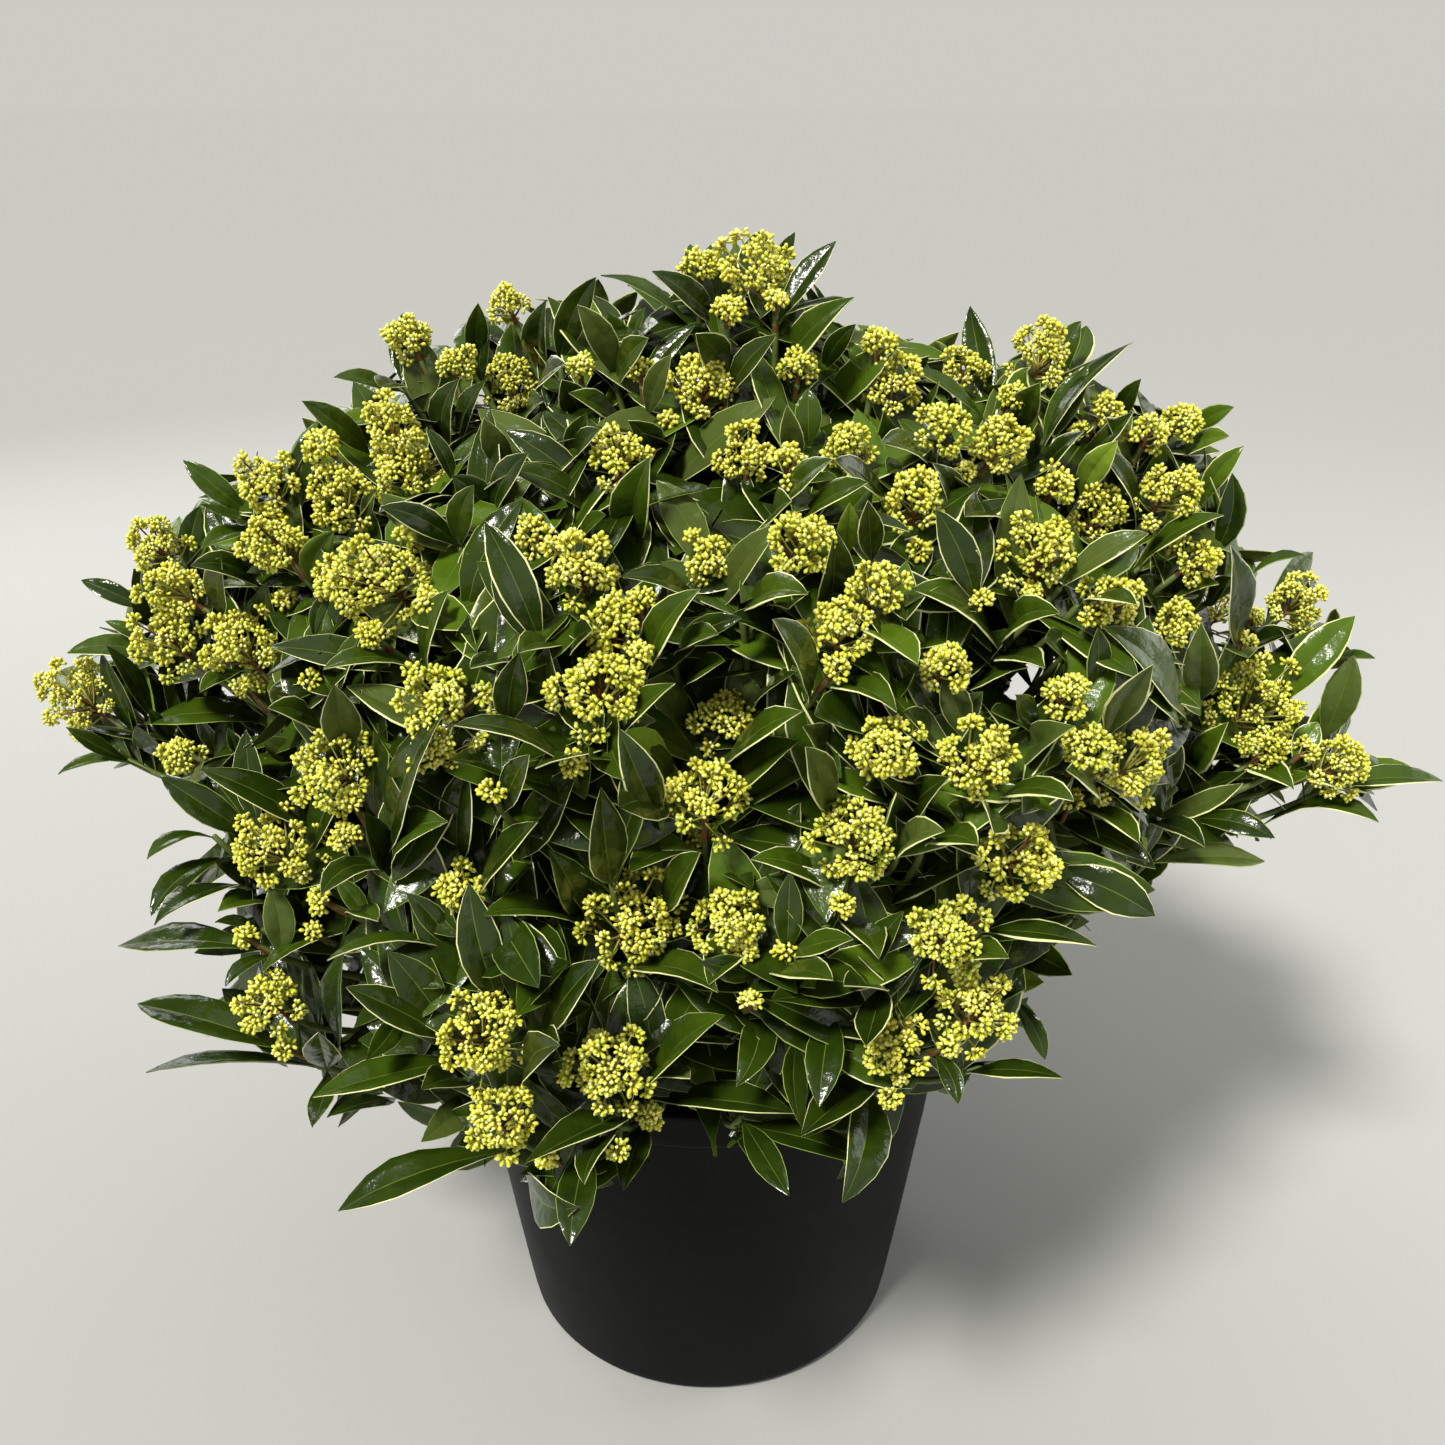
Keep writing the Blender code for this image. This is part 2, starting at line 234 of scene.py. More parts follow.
def leaf_material(name, low, high, roughness, coat, grain=0.28):
    mat, tree, shader = principled(name)
    where, _, _ = noise_colour(tree, shader, low, high, 55.0, 5.0)
    bump(tree, shader, where, 900.0, grain, 0.0005, 1.5)
    fine = shader.inputs["Normal"].links[0].from_node
    tree.links.new(fine.outputs["Normal"], shader.inputs["Coat Normal"])
    swell = node(tree, "ShaderNodeTexNoise", Scale=150.0, Detail=1.2)
    tree.links.new(where.outputs["Object"], swell.inputs["Vector"])
    under = node(tree, "ShaderNodeBump", Strength=0.60, Distance=0.0016)
    tree.links.new(swell.outputs["Fac"], under.inputs["Height"])
    tree.links.new(under.outputs["Normal"], fine.inputs["Normal"])
    shader.inputs["Roughness"].default_value = roughness
    shader.inputs["Specular IOR Level"].default_value = 0.12
    shader.inputs["Coat Weight"].default_value = coat
    shader.inputs["Coat Roughness"].default_value = 0.16
    return mat


def plain_material(name, low, high, roughness, scale=60.0, grain=0.2, grain_scale=500.0, specular=0.4):
    mat, tree, shader = principled(name)
    where, _, _ = noise_colour(tree, shader, low, high, scale, 3.0)
    bump(tree, shader, where, grain_scale, grain, 0.0005, 2.0)
    shader.inputs["Roughness"].default_value = roughness
    shader.inputs["Specular IOR Level"].default_value = specular
    return mat


# upper sides, dealt out by spray: deep, mid, fresh, grey-green, bright new growth; the grey-green is partly a painted
# sheen on leaves that show a grey gloss, and the deep green also serves as painted shade low down and to the left
BLADES = [
    leaf_material("leaf_deep_green", (0.0095, 0.0200, 0.0012), (0.0240, 0.0450, 0.0024), 0.28, 0.50),
    leaf_material("leaf_dark_green", (0.0220, 0.0430, 0.0021), (0.0430, 0.0790, 0.0037), 0.30, 0.38),
    leaf_material("leaf_mid_green", (0.0470, 0.0880, 0.0038), (0.0800, 0.1380, 0.0068), 0.32, 0.22),
    leaf_material("leaf_grey_green_and_painted_sheen", (0.0500, 0.0740, 0.0120), (0.0800, 0.1100, 0.0210), 0.33, 0.16),
    leaf_material("leaf_new_green", (0.1300, 0.2150, 0.0150), (0.1900, 0.2850, 0.0250), 0.36, 0.12),
]
UNDERS = [
    leaf_material("leaf_underside_olive", (0.070, 0.100, 0.016), (0.105, 0.140, 0.026), 0.50, 0.0),
    leaf_material("leaf_underside_pale", (0.110, 0.150, 0.024), (0.150, 0.195, 0.038), 0.50, 0.0),
]
MARGINS = [
    leaf_material("leaf_margin_cream", (0.560, 0.590, 0.250), (0.760, 0.770, 0.400), 0.36, 0.1, 0.1),
    leaf_material("leaf_margin_lime", (0.190, 0.260, 0.050), (0.340, 0.410, 0.110), 0.36, 0.1, 0.1),
]
MIDRIB = leaf_material("leaf_midrib_pale_green", (0.075, 0.112, 0.014), (0.115, 0.160, 0.028), 0.34, 0.1, 0.1)
LEAF_MATS = BLADES + UNDERS + MARGINS + [MIDRIB]
M_UNDER, M_MARGIN, M_MIDRIB = len(BLADES), len(BLADES) + len(UNDERS), len(BLADES) + len(UNDERS) + len(MARGINS)

BUDS = [
    plain_material("bud_yellow", (0.610, 0.570, 0.038), (0.745, 0.695, 0.070), 0.50, specular=0.25),
    plain_material("bud_yellow_green", (0.475, 0.520, 0.029), (0.620, 0.650, 0.058), 0.50, specular=0.25),
    plain_material("bud_green", (0.310, 0.410, 0.025), (0.440, 0.520, 0.046), 0.50, specular=0.25),
    plain_material("bud_pale_tip", (0.740, 0.725, 0.200), (0.820, 0.805, 0.330), 0.46, specular=0.30),
    plain_material("bud_yellow_tip", (0.690, 0.660, 0.100), (0.780, 0.745, 0.170), 0.46, specular=0.30),
]
STALKS = [
    plain_material("panicle_stalk_red_brown", (0.085, 0.036, 0.011), (0.145, 0.064, 0.018), 0.55, specular=0.25),
    plain_material("panicle_stalk_green", (0.290, 0.290, 0.045), (0.420, 0.390, 0.080), 0.50),
]
TWIGS = [
    plain_material("twig_green", (0.062, 0.092, 0.015), (0.110, 0.145, 0.028), 0.55, 80.0, 0.4, 300.0),
    plain_material("twig_brown", (0.060, 0.046, 0.022), (0.105, 0.080, 0.038), 0.75, 60.0, 0.6, 300.0),
]


# ------------------------------------------------------------------ the frame's masses
MASS_NODES = sorted(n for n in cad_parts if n.startswith("foliage_"))
BOUGH_NODES = sorted(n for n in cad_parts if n.startswith("bough_"))


def world_points(obj):
    co = np.empty(len(obj.data.vertices) * 3, np.float32)
    obj.data.vertices.foreach_get("co", co)
    co = co.reshape(-1, 3).astype(float)
    m = np.array(obj.matrix_world)
    return co @ m[:3, :3].T + m[:3, 3]


def tree_of(names):
    pts, polys, owner = [], [], []
    for i, name in enumerate(names):
        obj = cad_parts[name]
        base = len(pts)
        pts.extend(map(tuple, world_points(obj)))
        for p in obj.data.polygons:
            polys.append([base + v for v in p.vertices])
            owner.append(i)
    return BVHTree.FromPolygons(pts, polys), owner, np.array(pts), polys


MASS_TREE, MASS_OWNER, MASS_PTS, MASS_POLYS = tree_of(MASS_NODES)
MASS_MIDDLE = np.array([world_points(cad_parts[n]).mean(0) for n in MASS_NODES])
HEART = np.array([0.008, -0.002, 0.225])


def owner_of(p):
    return int(np.argmin(np.linalg.norm(MASS_MIDDLE - p, axis=1)))


# ------------------------------------------------------------------ where the flower heads are
# x, y and half width, in the photographed frame, of each head that shows
HEADS = (
    (757, 268, 38), (700, 268, 18), (727, 312, 18), (508, 305, 20), (412, 338, 24), (455, 362, 20),
    (512, 380, 27), (580, 368, 16), (702, 385, 32), (640, 372, 14), (800, 365, 20), (878, 345, 18),
    (893, 385, 28), (963, 372, 22), (1045, 352, 34), (1106, 408, 20), (1182, 422, 22), (1150, 431, 19), (943, 428, 26),
    (1000, 445, 30), (618, 455, 30), (745, 455, 28), (790, 465, 22), (848, 443, 24), (388, 420, 28),
    (405, 465, 36), (322, 445, 20), (265, 482, 30), (340, 500, 34), (275, 540, 32), (158, 548, 30),
    (175, 590, 32), (380, 575, 50), (370, 635, 14), (533, 535, 22), (577, 565, 38), (707, 560, 26),
    (800, 540, 36), (915, 500, 30), (877, 590, 28), (838, 630, 32), (1040, 550, 38), (1097, 513, 30),
    (1168, 492, 32), (1196, 560, 26), (1055, 485, 20), (1112, 600, 30), (1175, 623, 22), (1297, 603, 27),
    (983, 600, 12), (612, 625, 28), (600, 690, 46), (240, 645, 36), (168, 640, 34), (78, 695, 36),
    (182, 757, 20), (445, 705, 44), (335, 772, 42), (275, 850, 42), (458, 888, 26), (268, 1002, 33),
    (248, 938, 14), (480, 1035, 44), (500, 1120, 36), (612, 1070, 42), (632, 925, 48), (730, 920, 36),
    (703, 795, 40), (723, 718, 32), (855, 840, 42), (887, 750, 36), (978, 760, 38), (1132, 767, 38),
    (1018, 860, 40), (942, 935, 40), (978, 1010, 38), (893, 1047, 32), (1250, 705, 46), (1340, 765, 32),
    (1065, 695, 24), (945, 668, 28),
)
# smaller lobes and stray tufts that stand beside them
LOBES = (
    (335, 582, 24), (430, 602, 15), (250, 688, 14), (310, 681, 9), (285, 600, 12), (640, 602, 15),
    (572, 765, 14), (432, 752, 24), (492, 790, 10), (700, 838, 17), (345, 838, 18), (322, 900, 15),
    (313, 932, 9), (285, 1050, 12), (548, 1156, 12), (650, 1115, 17), (617, 1150, 9), (890, 1097, 10),
    (950, 1046, 14), (965, 976, 13), (843, 906, 13), (746, 951, 10), (786, 953, 7), (750, 1002, 7),
    (1265, 750, 20), (1305, 752, 14), (1255, 618, 9), (1245, 640, 10), (1032, 594, 13), (1080, 432, 9),
    (965, 473, 10), (1010, 398, 15), (918, 551, 13), (835, 670, 15), (775, 301, 14), (668, 422, 8),
    (640, 655, 13), (744, 948, 11), (1085, 747, 27), (850, 470, 10), (725, 386, 15), (522, 405, 12),
    (1096, 612, 18), (600, 640, 12), (352, 800, 16), (1072, 800, 10),
)

# the crown's outline in the photographed frame, and the places where it is open
OUTLINE = (
    (760, 228), (800, 262), (836, 240), (822, 285), (852, 297), (832, 322), (880, 322), (930, 345), (968, 305),
    (1012, 350), (1045, 315), (1080, 318), (1135, 342), (1095, 372), (1120, 392), (1140, 378), (1150, 402),
    (1232, 408), (1212, 442), (1245, 445), (1240, 545), (1312, 552), (1328, 600), (1356, 613), (1340, 640),
    (1376, 658), (1362, 664), (1372, 690), (1360, 715), (1378, 752), (1443, 768), (1443, 784), (1400, 792),
    (1382, 800), (1382, 824), (1372, 820), (1360, 803), (1320, 804), (1268, 818), (1277, 840), (1252, 845),
    (1266, 860), (1240, 866), (1162, 866), (1158, 920), (1104, 914), (1085, 926), (1098, 947), (1060, 949),
    (1036, 952), (1073, 975), (1042, 990), (1028, 993), (1046, 1022), (1047, 1062), (1016, 1035), (1008, 1066),
    (1063, 1078), (1000, 1084), (970, 1086), (958, 1105), (940, 1092), (905, 1100), (893, 1150), (850, 1205),
    (812, 1140), (788, 1196), (740, 1150), (668, 1100), (625, 1190), (590, 1200), (570, 1245), (520, 1180),
    (480, 1178), (340, 1212), (352, 1185), (420, 1150), (450, 1138), (415, 1122), (310, 1130), (318, 1094),
    (328, 1080), (300, 1069), (146, 1073), (162, 1060), (200, 1056), (262, 1056), (200, 1035), (136, 1001),
    (165, 990), (205, 985), (228, 985), (242, 968), (262, 961), (150, 949), (118, 945), (142, 930), (168, 924),
    (205, 926), (238, 914), (216, 910), (250, 894), (205, 896), (180, 902), (152, 926), (151, 905), (160, 880),
    (176, 864), (222, 846), (204, 839), (170, 840), (148, 862), (143, 848), (160, 829), (202, 828), (184, 812),
    (172, 795), (158, 776), (130, 768), (60, 778), (98, 758), (40, 720), (38, 680), (66, 640), (120, 610),
    (82, 578), (128, 560), (140, 520), (180, 515), (180, 458), (240, 455), (300, 440), (298, 400), (350, 400),
    (332, 375), (395, 370), (392, 318), (440, 320), (475, 310), (490, 288), (530, 290), (560, 300), (600, 272),
    (650, 285), (655, 268), (690, 272), (690, 242), (730, 238),
)
GAPS = (
    ((1008, 700), (1020, 672), (1034, 660), (1050, 649), (1058, 666), (1042, 680), (1036, 694), (1018, 692)),
    ((998, 713), (1020, 706), (1027, 728), (1005, 731)),
    ((1207, 598), (1226, 602), (1226, 645), (1216, 640), (1208, 620)),
    ((1292, 714), (1306, 690), (1330, 664), (1342, 668), (1322, 694), (1306, 714)),
    ((1049, 815), (1066, 822), (1062, 836), (1047, 832)),
    ((345, 985), (354, 985), (354, 1026), (345, 1026)),
    ((368, 958), (378, 958), (380, 980), (370, 980)),
    ((222, 874), (236, 889), (250, 892), (212, 893)),
)


def inside(xy, poly):
    """Which points lie in a polygon."""
    x, y = xy[..., 0], xy[..., 1]
    p = np.asarray(poly, float)
    q = np.roll(p, -1, axis=0)
    hit = np.zeros(x.shape, bool)
    for (x1, y1), (x2, y2) in zip(p, q):
        if y1 == y2:
            continue
        crosses = (y1 > y) != (y2 > y)
        hit ^= crosses & (x < (x2 - x1) * (y - y1) / (y2 - y1) + x1)
    return hit


# leaves read one by one: base x, y, tip x, y, bow to the right, width, tone, how near (0 to 3); tone 3, grey-green, is
# partly a painted sheen
HAND = (
    # left side
    (252, 516, 183, 460, 0, 28, 1, 1), (195, 570, 200, 506, -4, 28, 0, 1), (246, 527, 201, 504, -3, 12, 1, 1),
    (253, 545, 202, 549, 8, 16, 1, 1), (262, 590, 191, 566, 14, 22, 0, 2), (226, 614, 221, 557, -4, 22, 0, 2),
    (284, 648, 267, 581, -5, 24, 0, 1), (316, 576, 248, 559, 11, 16, 2, 2), (150, 612, 81, 580, 2, 22, 0, 0),
    (150, 644, 105, 621, 3, 14, 1, 1), (160, 682, 67, 653, 16, 24, 1, 2), (154, 722, 106, 645, 4, 20, 0, 1),
    (140, 745, 101, 652, -3, 20, 0, 1), (285, 728, 143, 724, 14, 26, 1, 1), (304, 510, 314, 427, -6, 26, 0, 1),
    (245, 668, 200, 692, 6, 14, 1, 2), (204, 630, 182, 594, 0, 18, 0, 1), (165, 748, 148, 708, 0, 16, 0, 0),
    # upper left
    (402, 385, 403, 313, -4, 22, 0, 0), (418, 420, 421, 338, 0, 42, 3, 2), (398, 400, 334, 377, 5, 15, 1, 0),
    (404, 392, 379, 387, 4, 12, 0, 1), (372, 455, 302, 401, 4, 28, 1, 1), (474, 362, 478, 303, 0, 26, 1, 2),
    (536, 372, 546, 300, -5, 28, 0, 2), (528, 402, 512, 323, 0, 52, 1, 1), (478, 395, 490, 328, -8, 18, 0, 1),
    (446, 458, 459, 379, -12, 22, 0, 2), (462, 464, 487, 379, -10, 16, 0, 2), (515, 470, 484, 418, -4, 30, 3, 2),
    (600, 502, 505, 430, 6, 34, 0, 0), (596, 520, 510, 470, 12, 26, 0, 1), (490, 520, 528, 453, -9, 24, 0, 2),
    (500, 520, 452, 476, 6, 36, 0, 1), (460, 548, 474, 485, -8, 28, 1, 2), (462, 548, 380, 507, 9, 30, 0, 2),
    (380, 524, 373, 486, -3, 14, 3, 1), (402, 488, 363, 470, 5, 26, 0, 2), (454, 486, 426, 428, 4, 18, 0, 1),
    (560, 365, 596, 277, -8, 34, 0, 2), (538, 392, 565, 364, -6, 10, 0, 2), (578, 425, 562, 380, 0, 34, 0, 2),
    (572, 462, 587, 413, -6, 24, 1, 2), (575, 468, 600, 429, -6, 16, 0, 2), (528, 418, 546, 400, -4, 10, 1, 2),
    (534, 518, 568, 507, -5, 10, 1, 1),
    # left of the middle
    (316, 580, 334, 531, -6, 34, 2, 1), (314, 640, 334, 590, -8, 18, 0, 1), (430, 682, 270, 646, 5, 32, 0, 1),
    (424, 672, 323, 669, 14, 16, 1, 2), (428, 676, 449, 590, -12, 18, 1, 2), (466, 626, 522, 500, -14, 38, 0, 1),
    (543, 652, 485, 521, 3, 44, 0, 3), (472, 672, 468, 615, 0, 24, 0, 2), (520, 661, 470, 668, 5, 15, 0, 2),
    (507, 728, 519, 652, -3, 38, 0, 2), (566, 650, 518, 653, 10, 16, 1, 2), (562, 752, 548, 645, -6, 36, 0, 2),
    (560, 757, 454, 725, 16, 20, 1, 3), (396, 860, 448, 707, -14, 28, 1, 3), (598, 752, 535, 768, 4, 14, 1, 3),
    (502, 815, 529, 755, -4, 28, 0, 2), (508, 778, 450, 760, 5, 18, 0, 2), (347, 758, 334, 685, 0, 44, 3, 2),
    (384, 742, 348, 696, 3, 22, 0, 0), (420, 655, 380, 630, 0, 20, 0, 0), (564, 662, 592, 630, -7, 14, 0, 2),
    (632, 614, 603, 592, 3, 14, 1, 1),
    # top
    (694, 292, 690, 244, 0, 22, 1, 0), (728, 300, 721, 240, -4, 28, 3, 0), (722, 332, 652, 271, 6, 26, 0, 2),
    (770, 275, 795, 232, 0, 16, 0, 0), (776, 330, 836, 241, -4, 26, 0, 1), (766, 396, 854, 297, -11, 26, 1, 3),
    (730, 372, 696, 334, 4, 36, 1, 3), (748, 358, 757, 326, 0, 38, 1, 2), (738, 402, 777, 335, -8, 24, 0, 2),
    (668, 490, 776, 397, -5, 36, 3, 3), (680, 337, 601, 275, 14, 10, 1, 1), (614, 378, 577, 305, 8, 32, 3, 2),
    (628, 350, 607, 312, 0, 24, 1, 0), (625, 340, 646, 307, -3, 12, 1, 0), (632, 343, 658, 323, -5, 9, 0, 1),
    (605, 398, 648, 338, -8, 22, 1, 2), (655, 380, 695, 325, -6, 20, 0, 1), (662, 412, 671, 355, -4, 24, 3, 2),
    (630, 424, 569, 393, 3, 20, 1, 3), (672, 466, 628, 421, 8, 32, 0, 2), (625, 562, 650, 457, -6, 46, 1, 3),
    (692, 578, 656, 480, 8, 42, 3, 1), (733, 570, 734, 457, 0, 42, 0, 2), (760, 430, 819, 379, -6, 20, 0, 2),
    (810, 448, 808, 388, 0, 30, 1, 1), (795, 472, 787, 405, 0, 28, 3, 1), (776, 512, 832, 459, -6, 20, 1, 2),
    (798, 520, 868, 482, -6, 22, 1, 2), (757, 520, 791, 501, -5, 9, 1, 2), (846, 556, 850, 503, 0, 24, 4, 1),
    # upper right
    (822, 372, 856, 324, -5, 22, 0, 0), (862, 372, 849, 342, 0, 20, 2, 0), (838, 424, 897, 347, -6, 34, 2, 2),
    (900, 365, 929, 356, 4, 10, 0, 0), (988, 420, 901, 365, 8, 13, 1, 1), (885, 474, 884, 411, 0, 32, 1, 1),
    (900, 442, 939, 381, 5, 15, 1, 0), (970, 515, 948, 427, -3, 28, 0, 1), (940, 472, 881, 443, 9, 10, 1, 2),
    (944, 514, 933, 463, 6, 22, 0, 2), (995, 414, 970, 306, -2, 36, 0, 1), (1070, 372, 1081, 321, -8, 24, 1, 0),
    (1042, 450, 1133, 342, -13, 17, 0, 2), (1022, 432, 1040, 383, 0, 38, 2, 2), (1028, 470, 1038, 423, -4, 18, 0, 1),
    (1025, 486, 1084, 431, -5, 16, 0, 2), (1064, 462, 1133, 412, 3, 20, 0, 2), (1080, 496, 1118, 441, -5, 32, 4, 2),
    (1004, 645, 1021, 474, -8, 44, 3, 1), (975, 590, 936, 509, 6, 40, 0, 2), (873, 562, 868, 501, 0, 30, 0, 2),
    (889, 502, 834, 460, 7, 20, 0, 2), (935, 478, 888, 473, 5, 14, 0, 1), (905, 500, 868, 472, 3, 16, 3, 1),
    (1002, 520, 965, 516, 8, 16, 0, 2), (1060, 588, 1149, 533, -8, 28, 3, 3), (1122, 424, 1141, 379, -6, 20, 0, 1),
    (1136, 470, 1106, 418, 3, 20, 0, 2), (1138, 528, 1099, 449, 12, 16, 0, 1), (1130, 452, 1160, 434, -3, 10, 0, 1),
    (1188, 432, 1234, 407, -4, 22, 2, 1), (1174, 460, 1229, 436, -6, 18, 2, 2), (1148, 492, 1164, 441, -3, 30, 2, 1),
    (1200, 506, 1244, 446, -6, 26, 2, 2), (1212, 556, 1232, 473, 10, 32, 0, 1), (1140, 568, 1224, 515, -12, 18, 1, 3),
    (1238, 650, 1231, 545, 5, 26, 0, 2), (1252, 575, 1305, 555, -8, 10, 1, 1), (1258, 630, 1313, 552, -5, 28, 1, 1),
    (1166, 604, 1219, 584, -6, 20, 2, 2), (1208, 616, 1231, 577, 0, 18, 0, 0), (1162, 626, 1138, 577, 5, 20, 0, 1),
    (1078, 606, 1137, 605, -8, 10, 1, 3),
    # middle
    (575, 540, 606, 515, -4, 14, 1, 1), (727, 612, 782, 522, -5, 32, 3, 2), (741, 612, 808, 594, -13, 26, 1, 3),
    (826, 628, 835, 529, 3, 36, 0, 2), (808, 602, 788, 609, 3, 12, 1, 2), (695, 614, 620, 577, 13, 13, 0, 2),
    (663, 682, 700, 589, -14, 30, 1, 3), (672, 654, 718, 634, -8, 17, 1, 2), (680, 655, 742, 618, -8, 26, 0, 1),
    (798, 673, 725, 618, 14, 18, 0, 2), (738, 732, 757, 632, 6, 46, 3, 2), (802, 693, 773, 619, 13, 28, 1, 3),
    (808, 686, 897, 712, -12, 22, 1, 3), (680, 693, 725, 661, -6, 15, 1, 1), (765, 695, 797, 672, -3, 12, 0, 1),
    (724, 762, 802, 711, -8, 22, 1, 3), (732, 802, 799, 741, -8, 34, 1, 2), (694, 756, 632, 666, 8, 34, 3, 0),
    (622, 742, 675, 683, -6, 24, 1, 3), (662, 822, 619, 728, -2, 44, 0, 3), (616, 756, 589, 759, 2, 18, 1, 2),
    (676, 790, 634, 744, 8, 24, 0, 0), (843, 773, 803, 726, 5, 24, 3, 2), (832, 815, 806, 747, 3, 36, 3, 2),
    (996, 652, 911, 589, 20, 18, 1, 3), (955, 565, 905, 606, 0, 22, 1, 1), (866, 636, 918, 664, -9, 26, 2, 3),
    (890, 700, 914, 673, 0, 14, 1, 0), (955, 680, 950, 600, 0, 34, 0, 1), (1003, 654, 1060, 613, -18, 16, 1, 3),
    (988, 652, 1045, 668, -6, 17, 1, 3), (976, 705, 1028, 667, -7, 14, 1, 1), (966, 742, 944, 675, 3, 36, 3, 2),
    (1016, 780, 1075, 726, -3, 34, 3, 3), (1052, 742, 1016, 695, 0, 25, 1, 1), (1028, 732, 991, 711, 3, 12, 0, 1),
    (1093, 700, 1098, 628, 3, 24, 0, 1), (1080, 665, 1045, 640, 5, 20, 1, 1), (1190, 724, 1102, 627, 16, 28, 1, 2),
    (1108, 738, 1153, 665, -6, 36, 3, 3), (1095, 800, 1066, 770, 5, 26, 1, 3), (858, 748, 868, 698, 0, 20, 3, 0),
    (944, 758, 903, 712, 6, 18, 0, 1),
    # right
    (1272, 712, 1355, 616, -4, 42, 2, 3), (1236, 672, 1296, 632, -6, 18, 0, 2), (1318, 664, 1375, 658, -5, 9, 1, 1),
    (1322, 742, 1354, 655, 3, 38, 3, 1), (1292, 756, 1318, 722, 0, 30, 2, 2), (1202, 702, 1201, 623, 0, 40, 3, 3),
    (1218, 652, 1248, 658, -3, 8, 1, 1), (1194, 776, 1228, 722, 0, 30, 2, 3), (1176, 788, 1168, 727, 0, 26, 0, 2),
    (1222, 760, 1294, 789, -9, 22, 1, 3), (1326, 788, 1443, 781, -7, 24, 1, 2), (1256, 816, 1379, 822, -20, 17, 1, 2),
    (1262, 808, 1312, 775, -2, 14, 2, 1), (1160, 798, 1247, 770, 3, 18, 0, 1), (1142, 814, 1243, 783, 6, 24, 3, 2),
    (1184, 818, 1275, 838, -8, 24, 0, 1), (1140, 820, 1205, 847, -8, 18, 0, 2), (1148, 862, 1265, 861, -6, 24, 3, 1),
    # lower left
    (128, 760, 66, 727, -2, 17, 0, 1), (161, 774, 58, 774, 17, 11, 1, 2), (165, 765, 136, 725, 0, 20, 1, 1),
    (326, 836, 200, 769, 7, 33, 1, 3), (255, 838, 160, 776, 0, 38, 0, 2), (214, 836, 147, 859, 12, 12, 1, 1),
    (233, 856, 151, 916, 14, 24, 0, 1), (255, 887, 154, 925, 15, 13, 1, 3), (250, 880, 215, 862, 0, 20, 0, 0),
    (262, 884, 228, 832, -3, 24, 3, 1), (262, 906, 218, 911, 6, 18, 2, 1), (197, 740, 175, 719, 0, 14, 1, 0),
    (222, 757, 196, 716, 3, 16, 0, 0), (236, 756, 228, 727, 0, 12, 0, 0), (300, 760, 262, 738, 0, 26, 3, 0),
    (322, 732, 268, 708, 10, 22, 1, 3), (260, 962, 118, 946, 8, 30, 0, 1), (262, 930, 215, 922, 4, 12, 0, 0),
    (290, 1046, 137, 1004, 5, 42, 0, 2), (268, 968, 225, 987, 8, 14, 0, 1), (318, 1066, 146, 1072, 8, 11, 0, 2),
    (282, 955, 270, 885, 4, 34, 3, 0), (300, 940, 285, 895, 5, 18, 0, 0), (362, 930, 260, 974, 13, 17, 1, 3),
    (452, 950, 327, 960, 17, 13, 1, 3), (338, 1050, 346, 945, -6, 22, 0, 1), (322, 1030, 304, 955, 3, 18, 0, 0),
    (328, 1070, 318, 1033, 0, 38, 1, 2), (452, 1040, 346, 987, 3, 36, 1, 3), (402, 1008, 366, 1060, -4, 28, 1, 2),
    (322, 1075, 312, 1127, -3, 24, 0, 2), (400, 1095, 327, 1117, 4, 18, 0, 1), (394, 880, 321, 894, 20, 20, 1, 3),
    (372, 925, 335, 878, 4, 22, 1, 0), (345, 912, 378, 921, -5, 16, 1, 2), (394, 878, 364, 813, -4, 32, 1, 2),
    (397, 880, 448, 822, -22, 18, 1, 3), (458, 870, 467, 765, -6, 36, 0, 1), (488, 884, 537, 822, -6, 22, 1, 2),
    (482, 850, 529, 757, -6, 26, 0, 0), (533, 872, 580, 765, -5, 40, 0, 1), (612, 885, 601, 787, -2, 44, 0, 3),
    (505, 905, 532, 865, -6, 18, 1, 1), (584, 915, 549, 850, 3, 40, 3, 1), (596, 930, 482, 916, 13, 23, 1, 3),
    (502, 1008, 469, 883, -6, 50, 0, 3), (456, 945, 406, 893, 5, 28, 0, 1), (540, 1040, 600, 960, -6, 34, 0, 3),
    # lower middle
    (696, 858, 629, 873, 13, 20, 1, 2), (662, 915, 700, 852, -4, 30, 1, 3), (700, 866, 752, 890, -8, 18, 0, 1),
    (836, 900, 751, 859, 14, 23, 1, 3), (784, 862, 800, 803, 0, 28, 0, 1), (782, 955, 790, 872, 0, 34, 0, 1),
    (794, 956, 853, 939, -5, 24, 1, 2), (762, 974, 833, 980, -8, 20, 1, 3), (640, 972, 718, 992, -15, 26, 1, 3),
    (770, 975, 700, 962, 0, 32, 0, 1), (760, 1003, 736, 1087, -9, 42, 0, 2), (834, 1003, 819, 1107, 2, 44, 0, 1),
    (642, 1104, 725, 1015, -14, 22, 1, 3), (654, 1078, 630, 962, 6, 38, 0, 1), (735, 1046, 688, 1040, 3, 20, 0, 0),
    (834, 914, 879, 959, -8, 26, 1, 3), (840, 934, 884, 980, 3, 18, 0, 2), (884, 982, 866, 1046, 0, 36, 1, 3),
    # lower right
    (880, 828, 897, 793, -4, 18, 2, 2), (896, 860, 945, 831, -11, 24, 3, 3), (924, 845, 978, 845, -11, 18, 1, 3),
    (862, 906, 983, 863, -10, 32, 1, 3), (906, 822, 949, 777, -6, 28, 0, 2), (968, 832, 948, 806, 2, 14, 1, 1),
    (990, 800, 994, 833, 0, 24, 1, 3), (1002, 806, 1074, 801, -14, 19, 1, 3), (1074, 813, 1139, 843, -10, 20, 1, 3),
